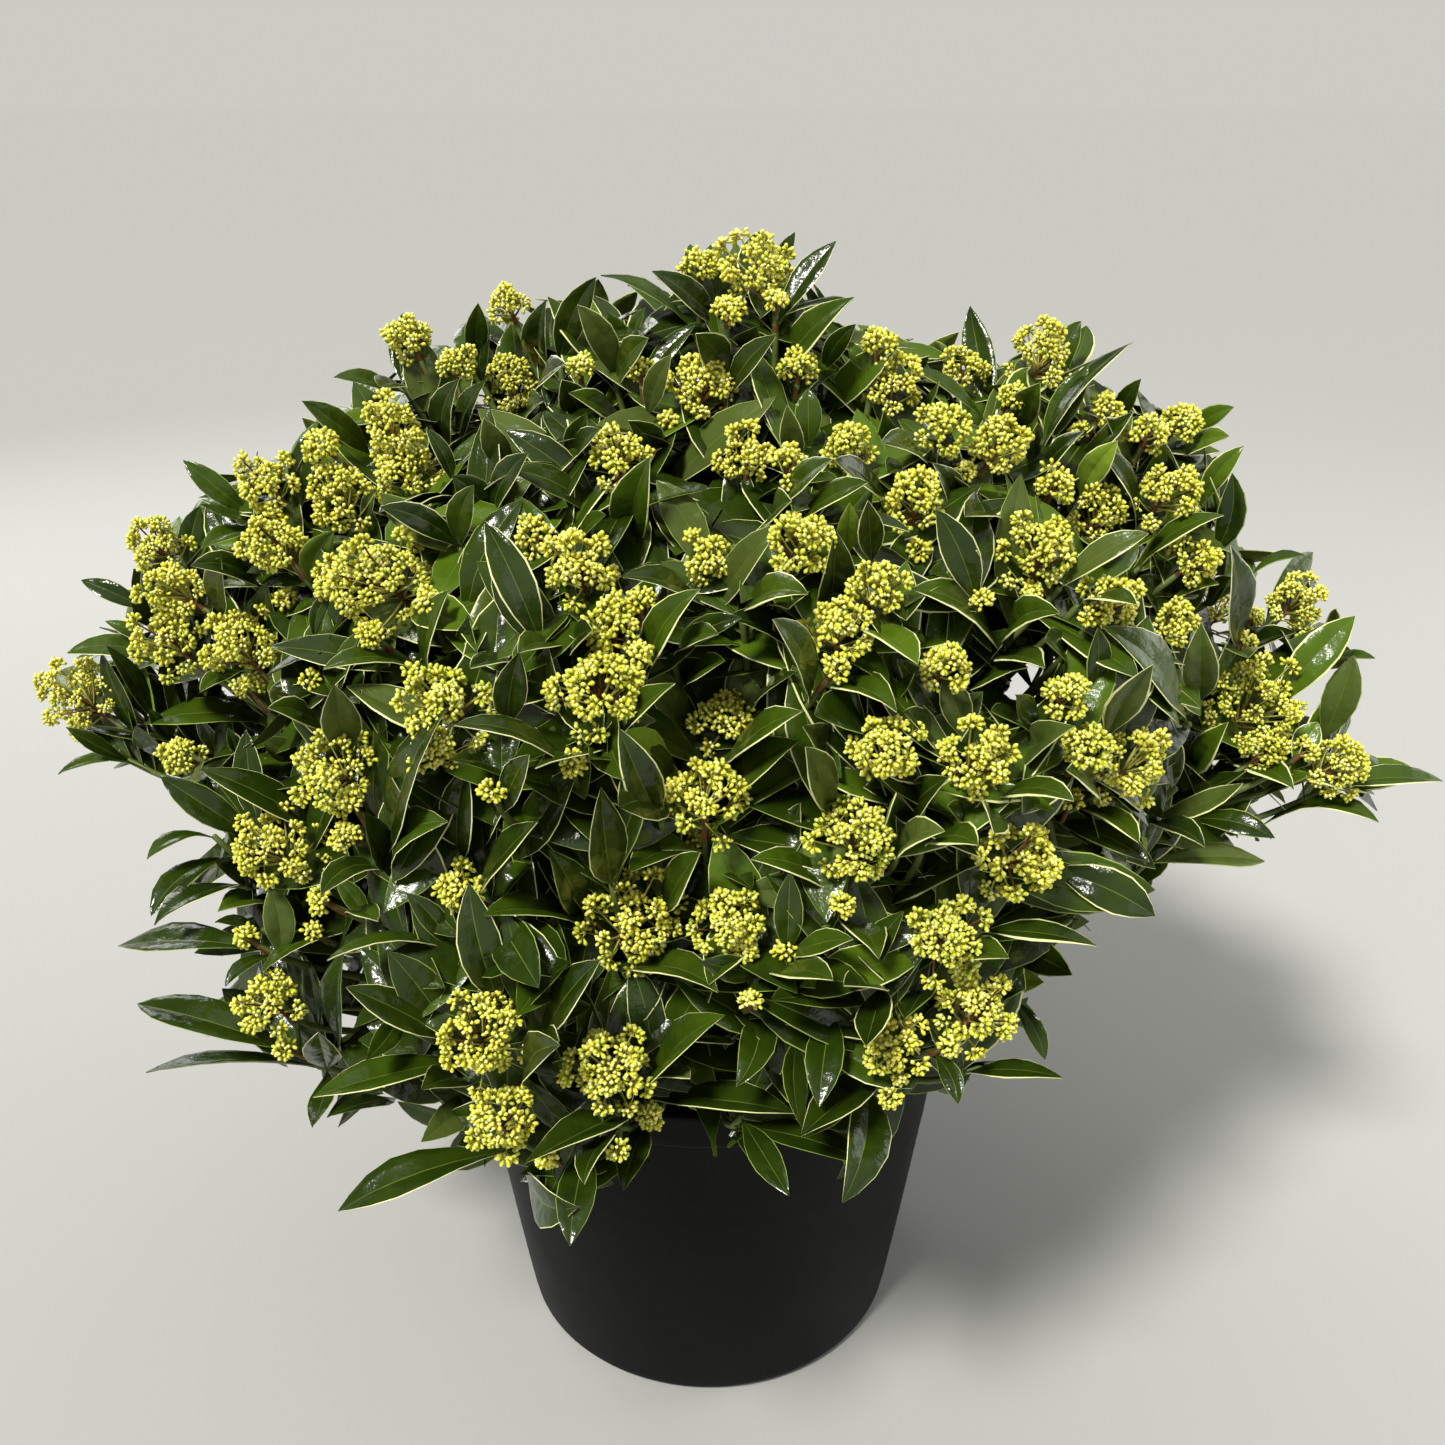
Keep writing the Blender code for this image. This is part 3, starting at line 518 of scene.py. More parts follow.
    (1046, 866, 1155, 916, -6, 48, 0, 2), (1062, 836, 1150, 862, -6, 28, 0, 1), (980, 930, 1097, 946, -6, 24, 0, 3),
    (1012, 905, 1084, 902, 5, 14, 0, 0), (1020, 925, 1066, 932, -4, 14, 0, 0), (955, 964, 1009, 958, -6, 26, 1, 3),
    (1004, 962, 1072, 975, -3, 38, 0, 1), (1012, 996, 1045, 1060, -6, 22, 0, 1), (966, 1072, 1063, 1078, -6, 20, 0, 2),
    (930, 1050, 958, 1104, -6, 24, 0, 1), (935, 985, 905, 1018, 0, 28, 0, 1), (880, 912, 932, 885, -4, 28, 3, 0),
    (985, 920, 1014, 902, 0, 22, 0, 0), (1000, 985, 1025, 989, -4, 10, 0, 1),
    # over the pot
    (456, 1066, 313, 1097, 4, 34, 1, 3), (486, 1092, 421, 1090, 5, 24, 0, 3), (470, 1105, 421, 1142, 0, 34, 3, 0),
    (524, 1148, 338, 1211, 10, 38, 0, 3), (628, 1116, 524, 1164, 2, 34, 0, 3), (528, 1089, 560, 1045, -16, 22, 1, 3),
    (546, 1114, 588, 1061, -10, 30, 0, 2), (535, 1165, 578, 1207, 18, 22, 0, 3), (590, 1140, 570, 1246, 4, 42, 0, 2),
    (622, 1128, 584, 1184, 10, 18, 0, 3), (640, 1122, 623, 1191, 2, 34, 0, 2), (660, 1104, 794, 1113, -6, 34, 3, 1),
    (742, 1116, 789, 1196, 0, 34, 0, 2), (800, 1030, 803, 1129, 8, 26, 0, 1), (868, 1058, 801, 1136, 2, 40, 3, 3),
    (872, 1088, 842, 1203, -11, 46, 0, 3), (668, 1070, 690, 1078, -4, 12, 3, 1),
)


def surface_along(x, y):
    """The point of the crown that the frame shows at x, y, and the way of sight there."""
    d = ray(x, y)
    hit = MASS_TREE.ray_cast(Vector(CAM_AT), Vector(d))
    if hit[0] is not None:
        return np.array(hit[0]), d, True
    best = None
    for t in np.linspace(0.35, 0.95, 121):
        p = CAM_AT + d * t
        near = MASS_TREE.find_nearest(Vector(p))
        if best is None or near[3] < best[0]:
            best = (near[3], p)
    return best[1], d, False


class Shoot:
    def __init__(self, tip, axis, head, size, leafy=1.0, seen=False, low=False):
        self.tip, self.axis, self.head, self.size = np.asarray(tip, float), unit(axis), head, size
        self.mass = owner_of(tip)
        self.leafy, self.seen, self.low = leafy, seen, low
        self.length = 0.055
        self.tone = 0
        self.turns = []      # angles of the leaves that it already has
        self.stray, self.host = False, None      # a side tuft, and the head that carries it


def shoot_axis(p, low=False, jitter=0.14):
    """Shoots stand up in the middle of the crown and lean out towards its rim."""
    flat = np.array([p[0] - HEART[0], p[1] - HEART[1], 0.0])
    reach = float(np.linalg.norm(flat))
    out = unit(flat)
    lean = math.radians(6.0) + math.radians(40.0) * min(1.0, reach / 0.26) ** 1.3
    lean += math.radians(30.0) * min(1.0, max(0.0, (0.27 - p[2]) / 0.10))
    if low:
        lean += math.radians(28.0)
    axis = out * math.sin(lean) + np.array([0.0, 0.0, math.cos(lean)])
    return unit(axis + RNG.normal(0.0, jitter, 3))


READ = []      # leaves that were read, seated on their shoots
NEAR_STEP = (0.026, 0.014, 0.003, -0.008)


def seat_leaves(shoots):
    """Gives each leaf that was read a shoot to sit on: one whose stem passes there, or a new one."""
    stems = []

    def stem_of(s):
        k = np.linspace(0.001, 0.003 if s.stray else 0.050, 15)[:, None]
        pts = s.tip - s.axis * k
        return pts, project(pts)

    for s in shoots:
        stems.append(stem_of(s))
    for x, y, tx, ty, bow, w, tone, near in HAND:
        mid = ((x + tx) / 2, (y + ty) / 2)
        p, d, on = surface_along(*mid)
        level = project(p)[2] + NEAR_STEP[near]
        best = None
        for i, (pts, seen) in enumerate(stems):
            gap = np.hypot(seen[:, 0] - x, seen[:, 1] - y)
            gap = gap + 2000.0 * np.maximum(0.0, np.abs(seen[:, 2] - level - 0.018) - 0.034)
            j = int(np.argmin(gap))
            if best is None or gap[j] < best[0]:
                best = (gap[j], i, j)
        if best is None or best[0] > 20:
            q, d, on = surface_along(x, y)
            depth = project(q)[2] + 0.020 + 0.4 * NEAR_STEP[near]
            tip = point_at(x, y, min(max(depth, level - 0.010), level + 0.045))
            s = Shoot(tip, shoot_axis(tip), False, 0.0, 0.55, True)
            s.hand = True
            shoots.append(s)
            stems.append(stem_of(s))
            best = (0.0, len(shoots) - 1, 0)
        s = shoots[best[1]]
        foot = stems[best[1]][0][best[2]]
        READ.append((foot, s, level, (tx, ty), bow, w, tone, near))


def point_at(x, y, depth):
    """The point seen at x, y, at a depth along the camera's own axis."""
    c, s = math.cos(CAM_DOWN), math.sin(CAM_DOWN)
    right, down = (x - IMAGE / 2) / FOCAL * depth, (y - IMAGE / 2) / FOCAL * depth
    return CAM_AT + np.array([right, depth * c - down * s, -depth * s - down * c])


def hidden(p, reach):
    """Whether a head of this reach would be out of the camera's sight, behind the crown."""
    for off in ((0, 0, 0), (0, 0, 1), (1, 0, 0), (-1, 0, 0), (0, 0, -1), (0.7, 0, 0.7), (-0.7, 0, 0.7)):
        q = p + np.array(off, float) * reach
        hit = MASS_TREE.ray_cast(Vector(CAM_AT), Vector(unit(q - CAM_AT)))[0]
        if hit is None or (hit - Vector(q)).length < 0.030 or (hit - Vector(CAM_AT)).length > np.linalg.norm(q - CAM_AT):
            return False
    return True


# heads that stand out from the crown, and how far
PROUD = {(632, 925): 0.024, (458, 888): 0.022, (1132, 767): 0.032, (492, 790): 0.010, (322, 900): 0.006, (512, 380): 0.008}


def gather_shoots():
    shoots = []
    for x, y, r in HEADS + LOBES:
        p, d, on = surface_along(x, y)
        centre = p + d * ((0.005 if on else 0.0) - PROUD.get((x, y), 0.0))
        host = None
        if r < 14 and len(shoots) >= len(HEADS):
            room = [math.hypot(x - hx, y - hy) - hr for hx, hy, hr in HEADS]
            k = int(np.argmin(room))
            if room[k] < 40:
                host = shoots[k]
                centre = point_at(x, y, project(host.tip + host.axis * host.size * 0.95)[2] + 0.002)
        size = 1.05 * r * project(centre)[2] / FOCAL
        axis = shoot_axis(centre)
        tip = centre - axis * size * 0.95
        s = Shoot(tip, axis, True, size, 1.0 if r >= 22 else (0.0 if host else 0.5), True)
        s.host, s.stray = host, host is not None
        shoots.append(s)
    seat_leaves(shoots)
    # the rest of the dome: spread evenly over the masses' open faces
    areas, spots, normals = [], [], []
    for poly in MASS_POLYS:
        a, b, c = MASS_PTS[poly[0]], MASS_PTS[poly[1]], MASS_PTS[poly[2]]
        n = np.cross(b - a, c - a)
        areas.append(np.linalg.norm(n) / 2)
        spots.append((a, b, c))
        normals.append(unit(n))
    areas = np.array(areas)
    picks = RNG.choice(len(areas), 9000, p=areas / areas.sum())
    for k in picks:
        a, b, c = spots[k]
        u, v = RNG.random(2)
        if u + v > 1:
            u, v = 1 - u, 1 - v
        p = a + (b - a) * u + (c - a) * v
        out = unit(p - HEART)
        n = normals[k]
        low = n[2] < -0.45
        if np.dot(n, out) < 0.35 and not (low and np.linalg.norm(p[:2]) > 0.15):
            continue
        if MASS_TREE.ray_cast(Vector(p + out * 0.006), Vector(out))[0] is not None:
            continue
        hit = MASS_TREE.ray_cast(Vector(CAM_AT), Vector(unit(p - CAM_AT)))
        shown = hit[0] is not None and (hit[0] - Vector(p)).length < 0.02
        flower = (not shown) and (not low) and RNG.random() < 0.86
        if flower and not hidden(p, 0.019):
            flower = False
        rim = project(p - out * 0.012)[None, :2] + np.array([[0, 0], [0, -45], [45, 0], [-45, 0], [0, 45]])
        if flower and not inside(rim, OUTLINE).all():
            flower = False
        size = RNG.uniform(0.0115, 0.0165)
        if flower:
            centre = p - out * 0.012
            axis = shoot_axis(centre, low)
            tip = centre - axis * size * 0.95
        else:
            tip = p - out * (0.036 if shown else 0.028) - (n * 0.006 if low else 0.0)
            axis = shoot_axis(tip, low)
        feet = project(np.array([tip, tip - axis * 0.03]))[:, :2]
        if not inside(feet, OUTLINE).all():
            continue
        gap = 0.043 if not low else 0.050
        if min(np.linalg.norm(s.tip - tip) for s in shoots) < gap:
            continue
        shoots.append(Shoot(tip, axis, flower, size if flower else 0.0, 1.0, False, low))
    return shoots


SHOOTS = gather_shoots()
for s in SHOOTS:
    s.tone = int(RNG.choice(3, p=(0.40, 0.38, 0.22)))
HEAD_AT = np.array([s.tip + s.axis * s.size * 0.95 for s in SHOOTS if s.head])
HEAD_AXIS = np.array([s.axis for s in SHOOTS if s.head])
HEAD_SIZE = np.array([s.size for s in SHOOTS if s.head])
HEAD_SEEN = np.array([s.seen for s in SHOOTS if s.head])
print("shoots", len(SHOOTS), "heads", len(HEAD_AT))

# ------------------------------------------------------------------ leaves
ROWS = np.array([0.0, 0.08, 0.21, 0.36, 0.51, 0.66, 0.80, 0.92, 1.0])
HALF = np.array([0.065, 0.095, 0.44, 0.79, 0.98, 0.97, 0.73, 0.35, 0.012])
FINE_U = np.array([-1.0, -0.90, -0.48, -0.024, 0.024, 0.48, 0.90, 1.0])
FINE_UNDER = np.array([-1.0, -0.90, 0.0, 0.90, 1.0])
PLAIN_U = np.array([-1.0, -0.88, 0.0, 0.88, 1.0])
PLAIN_UNDER = np.array([-1.0, 0.0, 1.0])
FIELDS = ("base", "axis", "out", "open", "bend", "length", "width", "fold", "twist", "sway", "tone", "edge", "plain")


def lines_of(leaf):
    """Middle lines of many leaves: places, ways and upper normals at each row."""
    axis, out = unit(leaf["axis"]), unit(leaf["out"])
    n = len(axis)
    side = np.cross(axis, out)
    fine = np.linspace(0.0, 1.0, 33)
    theta = leaf["open"][:, None] + leaf["bend"][:, None] * fine[None, :] ** 1.5
    step = np.cos(theta)[..., None] * axis[:, None, :] + np.sin(theta)[..., None] * out[:, None, :]
    lean = leaf["sway"][:, None] * fine[None, :] ** 1.2
    step = step * np.cos(lean)[..., None] + side[:, None, :] * np.sin(lean)[..., None]
    walk = np.concatenate([np.zeros((n, 1, 3)), np.cumsum((step[:, 1:] + step[:, :-1]) / 2, axis=1)], axis=1)
    walk *= (leaf["length"] / 32.0)[:, None, None]
    at = ROWS * 32.0
    lo = np.clip(at.astype(int), 0, 31)
    f = (at - lo)[None, :, None]
    centre = leaf["base"][:, None, :] + walk[:, lo] * (1 - f) + walk[:, lo + 1] * f
    tangent = unit(step[:, lo] * (1 - f) + step[:, lo + 1] * f)
    upper = np.sin(theta)[..., None] * axis[:, None, :] - np.cos(theta)[..., None] * out[:, None, :]
    upper = upper[:, lo] * (1 - f) + upper[:, lo + 1] * f
    upper = unit(upper - tangent * (tangent * upper).sum(-1, keepdims=True))
    across = np.cross(tangent, upper)
    turn = (leaf["twist"][:, None] * ROWS[None, :])[..., None]
    upper = upper * np.cos(turn) + across * np.sin(turn)
    return centre, tangent, upper


def blades(centre, tangent, upper, width, fold, cols, drop, phase):
    """Points of the blades: leaves x rows x columns x 3. Halves fold up from the midrib, edges turn down."""
    across = np.cross(tangent, upper)
    half = HALF[None, :] * width[:, None] / 2
    u = cols[None, None, :] if cols.ndim == 1 else cols[:, None, :]
    au = np.abs(u)
    f = fold[:, None, None]
    x = u * np.cos(f * 0.75)
    z = np.tan(f) * (au - 0.42 * au ** 3) + 0.16 * au * (1.0 - au) - 0.05 * au ** 4
    wave = 0.07 * np.sin(ROWS[None, :, None] * 8.5 + np.sign(u) * 1.3 + phase[:, None, None]) * au ** 2
    thick = np.where(au > 0.95, 0.0, drop)
    return (centre[:, :, None, :] + across[:, :, None, :] * (half[:, :, None] * x)[..., None]
            + upper[:, :, None, :] * (half[:, :, None] * (z + wave) - thick)[..., None])


def samples_of(leaf):
    """A few points of each leaf, to test what it would cover or leave."""
    centre, tangent, upper = lines_of(leaf)
    phase = np.zeros(len(centre))
    pts = blades(centre, tangent, upper, leaf["width"], leaf["fold"], np.array([-0.9, 0.0, 0.9]), 0.0, phase)
    return pts[:, 2:].reshape(len(centre), -1, 3)


GUARD_CELL = 4.0
GUARD = np.full((int(IMAGE / GUARD_CELL) + 2, int(IMAGE / GUARD_CELL) + 2), -np.inf)
LIMIT_LOW = np.array(CAD_LOW) - 0.03 * (np.array(CAD_HIGH) - np.array(CAD_LOW)) - 0.007
LIMIT_HIGH = np.array(CAD_HIGH) + 0.03 * (np.array(CAD_HIGH) - np.array(CAD_LOW)) + 0.007


def pot_wall(z):
    share = np.clip(z / (0.180 - 0.0165), 0.0, 1.0)
    return 0.0905 + (0.1130 - 0.0905) * share ** 0.92


def faults(leaf):
    """Leaves that would leave the crown, cover a head or one of the leaves that were read, or cut the pot."""
    pts = samples_of(leaf)
    n = len(pts)
    seen = project(pts)
    xy, depth = seen[..., :2], seen[..., 2]
    bad = (~inside(xy, OUTLINE)).any(1)
    for gap in GAPS:
        bad |= inside(xy, gap).any(1)
    bad |= ((pts < LIMIT_LOW) | (pts > LIMIT_HIGH)).any((1, 2))
    r = np.linalg.norm(pts[..., :2], axis=-1)
    bad |= ((r < pot_wall(pts[..., 2]) + 0.008) & (pts[..., 2] < 0.184)).any(1)
    cell = np.clip((xy / GUARD_CELL).astype(int), 0, GUARD.shape[0] - 1)
    bad |= ((depth < GUARD[cell[..., 1], cell[..., 0]] - 0.001).sum(1) >= 2)
    shown = project(HEAD_AT)
    for k in range(len(HEAD_AT)):
        c, a, size = HEAD_AT[k], HEAD_AXIS[k], HEAD_SIZE[k]
        rel = pts - c
        along = rel @ a
        away = np.linalg.norm(rel - along[..., None] * a, axis=-1)
        bad |= ((along > -0.25 * size) & (along < 0.045) & (away < 0.80 * size)).any(1)
        if HEAD_SEEN[k]:
            gap = np.linalg.norm(xy - shown[k, :2], axis=-1)
            bad |= ((gap < 0.85 * size * FOCAL / shown[k, 2]) & (depth < shown[k, 2])).any(1)
    return bad


def plan_leaves():
    """The rule by which each shoot carries its leaves: an upper whorl and some older leaves below."""
    rows = {k: [] for k in FIELDS}
    for s in SHOOTS:
        a = s.axis
        e1, e2 = across_of(a)
        e1, e2 = e1[0], e2[0]
        start = RNG.uniform(0.0, math.tau)
        whorl = int(round((8 + RNG.integers(0, 2)) * s.leafy))
        if not s.head:
            whorl = 9 + int(RNG.integers(0, 3))
        older = int(round((4 if s.seen else 5) * s.leafy))
        big = RNG.uniform(0.92, 1.08)
        seat = project(s.tip)
        # low shoots, and those low down and to the left, carry painted shade: darker leaves with thin dull margins
        painted_shade_zone = s.low or (seat[0] < 640 and seat[1] > 740) or (seat[0] < 900 and seat[1] > 980)
        for k in range(whorl + older):
            old = k >= whorl
            share = k / max(1, whorl - 1)
            back = (0.001 + 0.017 * share) if not old else RNG.uniform(0.026, 0.050)
            phi = start + k * GOLD + RNG.normal(0.0, 0.16)
            if not old and any(abs((phi - t + math.pi) % math.tau - math.pi) < 0.45 for t in s.turns):
                continue
            o = e1 * math.cos(phi) + e2 * math.sin(phi)
            if not old:
                if s.head:
                    op = 0.78 + 0.34 * share + RNG.normal(0.0, 0.10)
                else:
                    op = 0.25 + 0.85 * share + RNG.normal(0.0, 0.10)
                bend = RNG.uniform(0.05, 0.65)
                length = RNG.normal(0.060, 0.005) * big
                if not s.head:
                    length *= 0.75 + 0.25 * min(1.0, share * 2.0)
            else:
                op = RNG.normal(1.18, 0.14)
                bend = RNG.uniform(0.15, 0.60)
                length = RNG.normal(0.064, 0.005) * big
            rows["base"].append(s.tip - a * back + o * 0.0012)
            rows["axis"].append(a)
            rows["out"].append(o)
            rows["open"].append(min(max(op, 0.20), 1.7))
            rows["bend"].append(bend)
            rows["length"].append(length)
            rows["width"].append(length * RNG.uniform(0.27, 0.335))
            rows["fold"].append(RNG.uniform(0.16, 0.56))
            rows["twist"].append(RNG.normal(0.0, 0.25))
            rows["sway"].append(RNG.normal(0.0, 0.15))
            t = s.tone
            if old:
                t = int(RNG.choice([0, 1], p=[0.65, 0.35]))
            elif RNG.random() < 0.2:
                t = int(RNG.choice([0, 1, 2, 3]))
            if (not s.head) and (not old) and k < 2 and RNG.random() < 0.03:
                t = 4
            # painted shade: in that zone the leaves take the deep or dark tone, and more often thin dull lime margins
            if painted_shade_zone and t > 0 and t < 4:
                t = 0 if RNG.random() < 0.75 else 1
            rows["tone"].append(t)
            rows["edge"].append(2 if old or RNG.random() < (0.75 if painted_shade_zone else 0.35) else int(RNG.random() < 0.8))
            rows["plain"].append(1 if old or (s.low and RNG.random() < 0.5) else 0)
    return {k: np.array(v) for k, v in rows.items()}


def settle_leaves(leaf):
    for attempt in range(6):
        bad = faults(leaf)
        if not bad.any():
            break
        n = int(bad.sum())
        e1 = leaf["out"][bad]
        e2 = np.cross(leaf["axis"][bad], e1)
        turn = RNG.normal(0.0, 0.45, n)[:, None]
        leaf["out"][bad] = e1 * np.cos(turn) + e2 * np.sin(turn)
        leaf["open"][bad] = np.clip(leaf["open"][bad] + RNG.uniform(-0.10, 0.30, n), 0.35, 1.75)
        leaf["bend"][bad] = RNG.uniform(-0.10, 0.60, n)
        leaf["sway"][bad] = RNG.normal(0.0, 0.25, n)
        leaf["length"][bad] *= RNG.uniform(0.90, 1.0, n)
        leaf["width"][bad] *= RNG.uniform(0.93, 1.0, n)
    bad = faults(leaf)
    print("leaves planned", len(bad), "left out", int(bad.sum()))
    return {k: v[~bad] for k, v in leaf.items()}


def behind_heads(base, tip, bow, w, near):
    """How deep a leaf has to lie not to hide a head that shows in front of it."""
    t = np.linspace(0.15, 1.0, 12)
    x, y = base[0] + (tip[0] - base[0]) * t, base[1] + (tip[1] - base[1]) * t
    d = base[2] + (tip[2] - base[2]) * t
    run = max(1.0, math.hypot(tip[0] - base[0], tip[1] - base[1]))
    rx, ry = -(tip[1] - base[1]) / run, (tip[0] - base[0]) / run
    spread = np.concatenate([np.stack([x + rx * (bow * 4 * t * (1 - t) + k * w * t * (1 - t)),
                                       y + ry * (bow * 4 * t * (1 - t) + k * w * t * (1 - t))], -1) for k in (-1.6, 0.0, 1.6)])
    d = np.tile(d, 3)
    shown = project(HEAD_AT)
    rear = 0.0
    for k in range(len(HEAD_AT)):
        if not HEAD_SEEN[k]:
            continue
        r = HEAD_SIZE[k] * FOCAL / shown[k, 2]
        over = (np.hypot(spread[:, 0] - shown[k, 0], spread[:, 1] - shown[k, 1]) < 0.75 * r) & (d < shown[k, 2] + 0.006)
        share = over.mean()
        if (near <= 1 and share > 0.05) or (near == 2 and share > 0.22):
            rear = max(rear, shown[k, 2] + 0.7 * HEAD_SIZE[k])
    return rear


def shape_read():
    """Middle lines, normals and widths of the leaves that were read."""
    lines, ways, uppers, widths, folds, tones, edges = [], [], [], [], [], [], []
    for foot, s, level, (tx, ty), bow, w, tone, near in READ:
        bx, by, bd = project(foot)
        run = math.hypot(tx - bx, ty - by)
        wide = run * (bd + level) / 2 / FOCAL
        td = level
        need = math.sqrt(max(0.0, 0.046 ** 2 - wide ** 2))
        if abs(bd - td) < need:
            td = max(bd - need, level - 0.016)
        td = min(max(td, bd - 0.050), bd + 0.030)
        rear = behind_heads((bx, by, bd), (tx, ty, td), bow, w, near)
        reach = max(0.012, math.sqrt(max(0.0, 0.074 ** 2 - wide ** 2)))
        td = min(max(td, rear, bd - reach), bd + reach)
        tip = point_at(tx, ty, td)
        rx, ry = -(ty - by) / max(run, 1.0), (tx - bx) / max(run, 1.0)
        md = 0.5 * bd + 0.5 * td - 0.10 * wide
        md = max(0.5 * md + 0.5 * min(md, level + 0.002), rear)
        # no leaf is hooked by more than its bow asks for
        flat = 0.5 * (bd + td)
        for share in (1.0, 0.8, 0.6, 0.4, 0.2, 0.0):
            deep = md if md >= flat else flat + (md - flat) * share
            mid = point_at((bx + tx) / 2 + rx * bow, (by + ty) / 2 + ry * bow, deep)
            ctrl = 2 * mid - (foot + tip) / 2
            if md >= flat or np.dot(unit(ctrl - foot), unit(tip - ctrl)) > math.cos(math.radians(72.0)):
                break
        t = np.linspace(0.0, 1.0, 41)[:, None]
        path = (1 - t) ** 2 * foot + 2 * t * (1 - t) * ctrl + t * t * tip
        way = 2 * (1 - t) * (ctrl - foot) + 2 * t * (tip - ctrl)
        run3 = np.concatenate([[0.0], np.cumsum(np.linalg.norm(np.diff(path, axis=0), axis=1))])
        length = run3[-1]
        at = np.interp(ROWS * length, run3, t[:, 0])[:, None]
        path = (1 - at) ** 2 * foot + 2 * at * (1 - at) * ctrl + at * at * tip
        way = unit(2 * (1 - at) * (ctrl - foot) + 2 * at * (tip - ctrl))
        mw = way[4]
        look = unit(CAM_AT - path[4])
        face = unit(look - mw * np.dot(look, mw))
        span = w * project(path[4])[2] / FOCAL
        true = float(min(max(0.29 * length, span * 0.96), 0.36 * max(length, 0.050), 0.0245))
        lean = math.acos(min(1.0, max(0.30, span / true)))
        side = np.cross(mw, face)
        want = s.axis + np.array([0.0, 0.0, 0.5])
        if abs(bow) > 0.09 * run:
            want = path[4] - (path[0] + path[-1]) / 2
        sign = 1.0 if np.dot(side, want) > 0 else -1.0
        upper = face * math.cos(lean) + side * math.sin(lean) * sign
        rows = upper - way * (way @ upper)[:, None]
        twist = RNG.normal(0.0, 0.16) * (ROWS - 0.5)
        rows = unit(rows)
        cross = np.cross(way, rows)
        rows = rows * np.cos(twist)[:, None] + cross * np.sin(twist)[:, None]
        lines.append(path)
        ways.append(way)
        uppers.append(rows)
        widths.append(true)
        folds.append(RNG.uniform(0.24, 0.56))
        # painted shade: darker, with thin dull margins, low down and to the left, and broad cream margins elsewhere
        mx, my = (bx + tx) / 2, (by + ty) / 2
        painted_shade_side = (mx < 640 and my > 740) or (mx < 900 and my > 990)
        if painted_shade_side and tone in (1, 3) and RNG.random() < 0.5:
            tone = 0
        tones.append(tone)
        edges.append(((2, 2, 2, 1) if painted_shade_side else (2, 2, 1, 0))[near] if RNG.random() < 0.8 else 1)
        # the way round the stem in which it grows, so that the whorl leaves room for it
        e1, e2 = across_of(s.axis)
        o = tip - foot
        s.turns.append(math.atan2(float(np.dot(o, e2[0])), float(np.dot(o, e1[0]))))
    return {"centre": np.array(lines), "tangent": np.array(ways), "upper": np.array(uppers),
            "width": np.array(widths), "fold": np.array(folds), "tone": np.array(tones), "edge": np.array(edges, int)}


def set_guard(read):
    """Keeps the other leaves from covering those that were read."""
    if len(read["centre"]):
        pts = blades(read["centre"], read["tangent"], read["upper"], read["width"], read["fold"],
                     np.linspace(-0.9, 0.9, 7), 0.0, np.zeros(len(read["centre"])))
        fine = []
        for k in np.linspace(0.0, 1.0, 7)[:-1]:
            fine.append(pts[:, :-1] * (1 - k) + pts[:, 1:] * k)
        pts = np.concatenate(fine, axis=1)[:, :, :, :].reshape(-1, 3)
        seen = project(pts)
        cell = np.clip((seen[:, :2] / GUARD_CELL).astype(int), 0, GUARD.shape[0] - 1)
        key = cell[:, 1] * GUARD.shape[1] + cell[:, 0]
        near = np.full(GUARD.size, np.inf)
        np.minimum.at(near, key, seen[:, 2])
        near = near.reshape(GUARD.shape)
        GUARD[np.isfinite(near)] = near[np.isfinite(near)]


GOLD = math.pi * (3.0 - math.sqrt(5.0))
READ_LEAVES = shape_read()
set_guard(READ_LEAVES)
LEAVES = settle_leaves(plan_leaves())
print("read leaves", len(READ_LEAVES["centre"]))


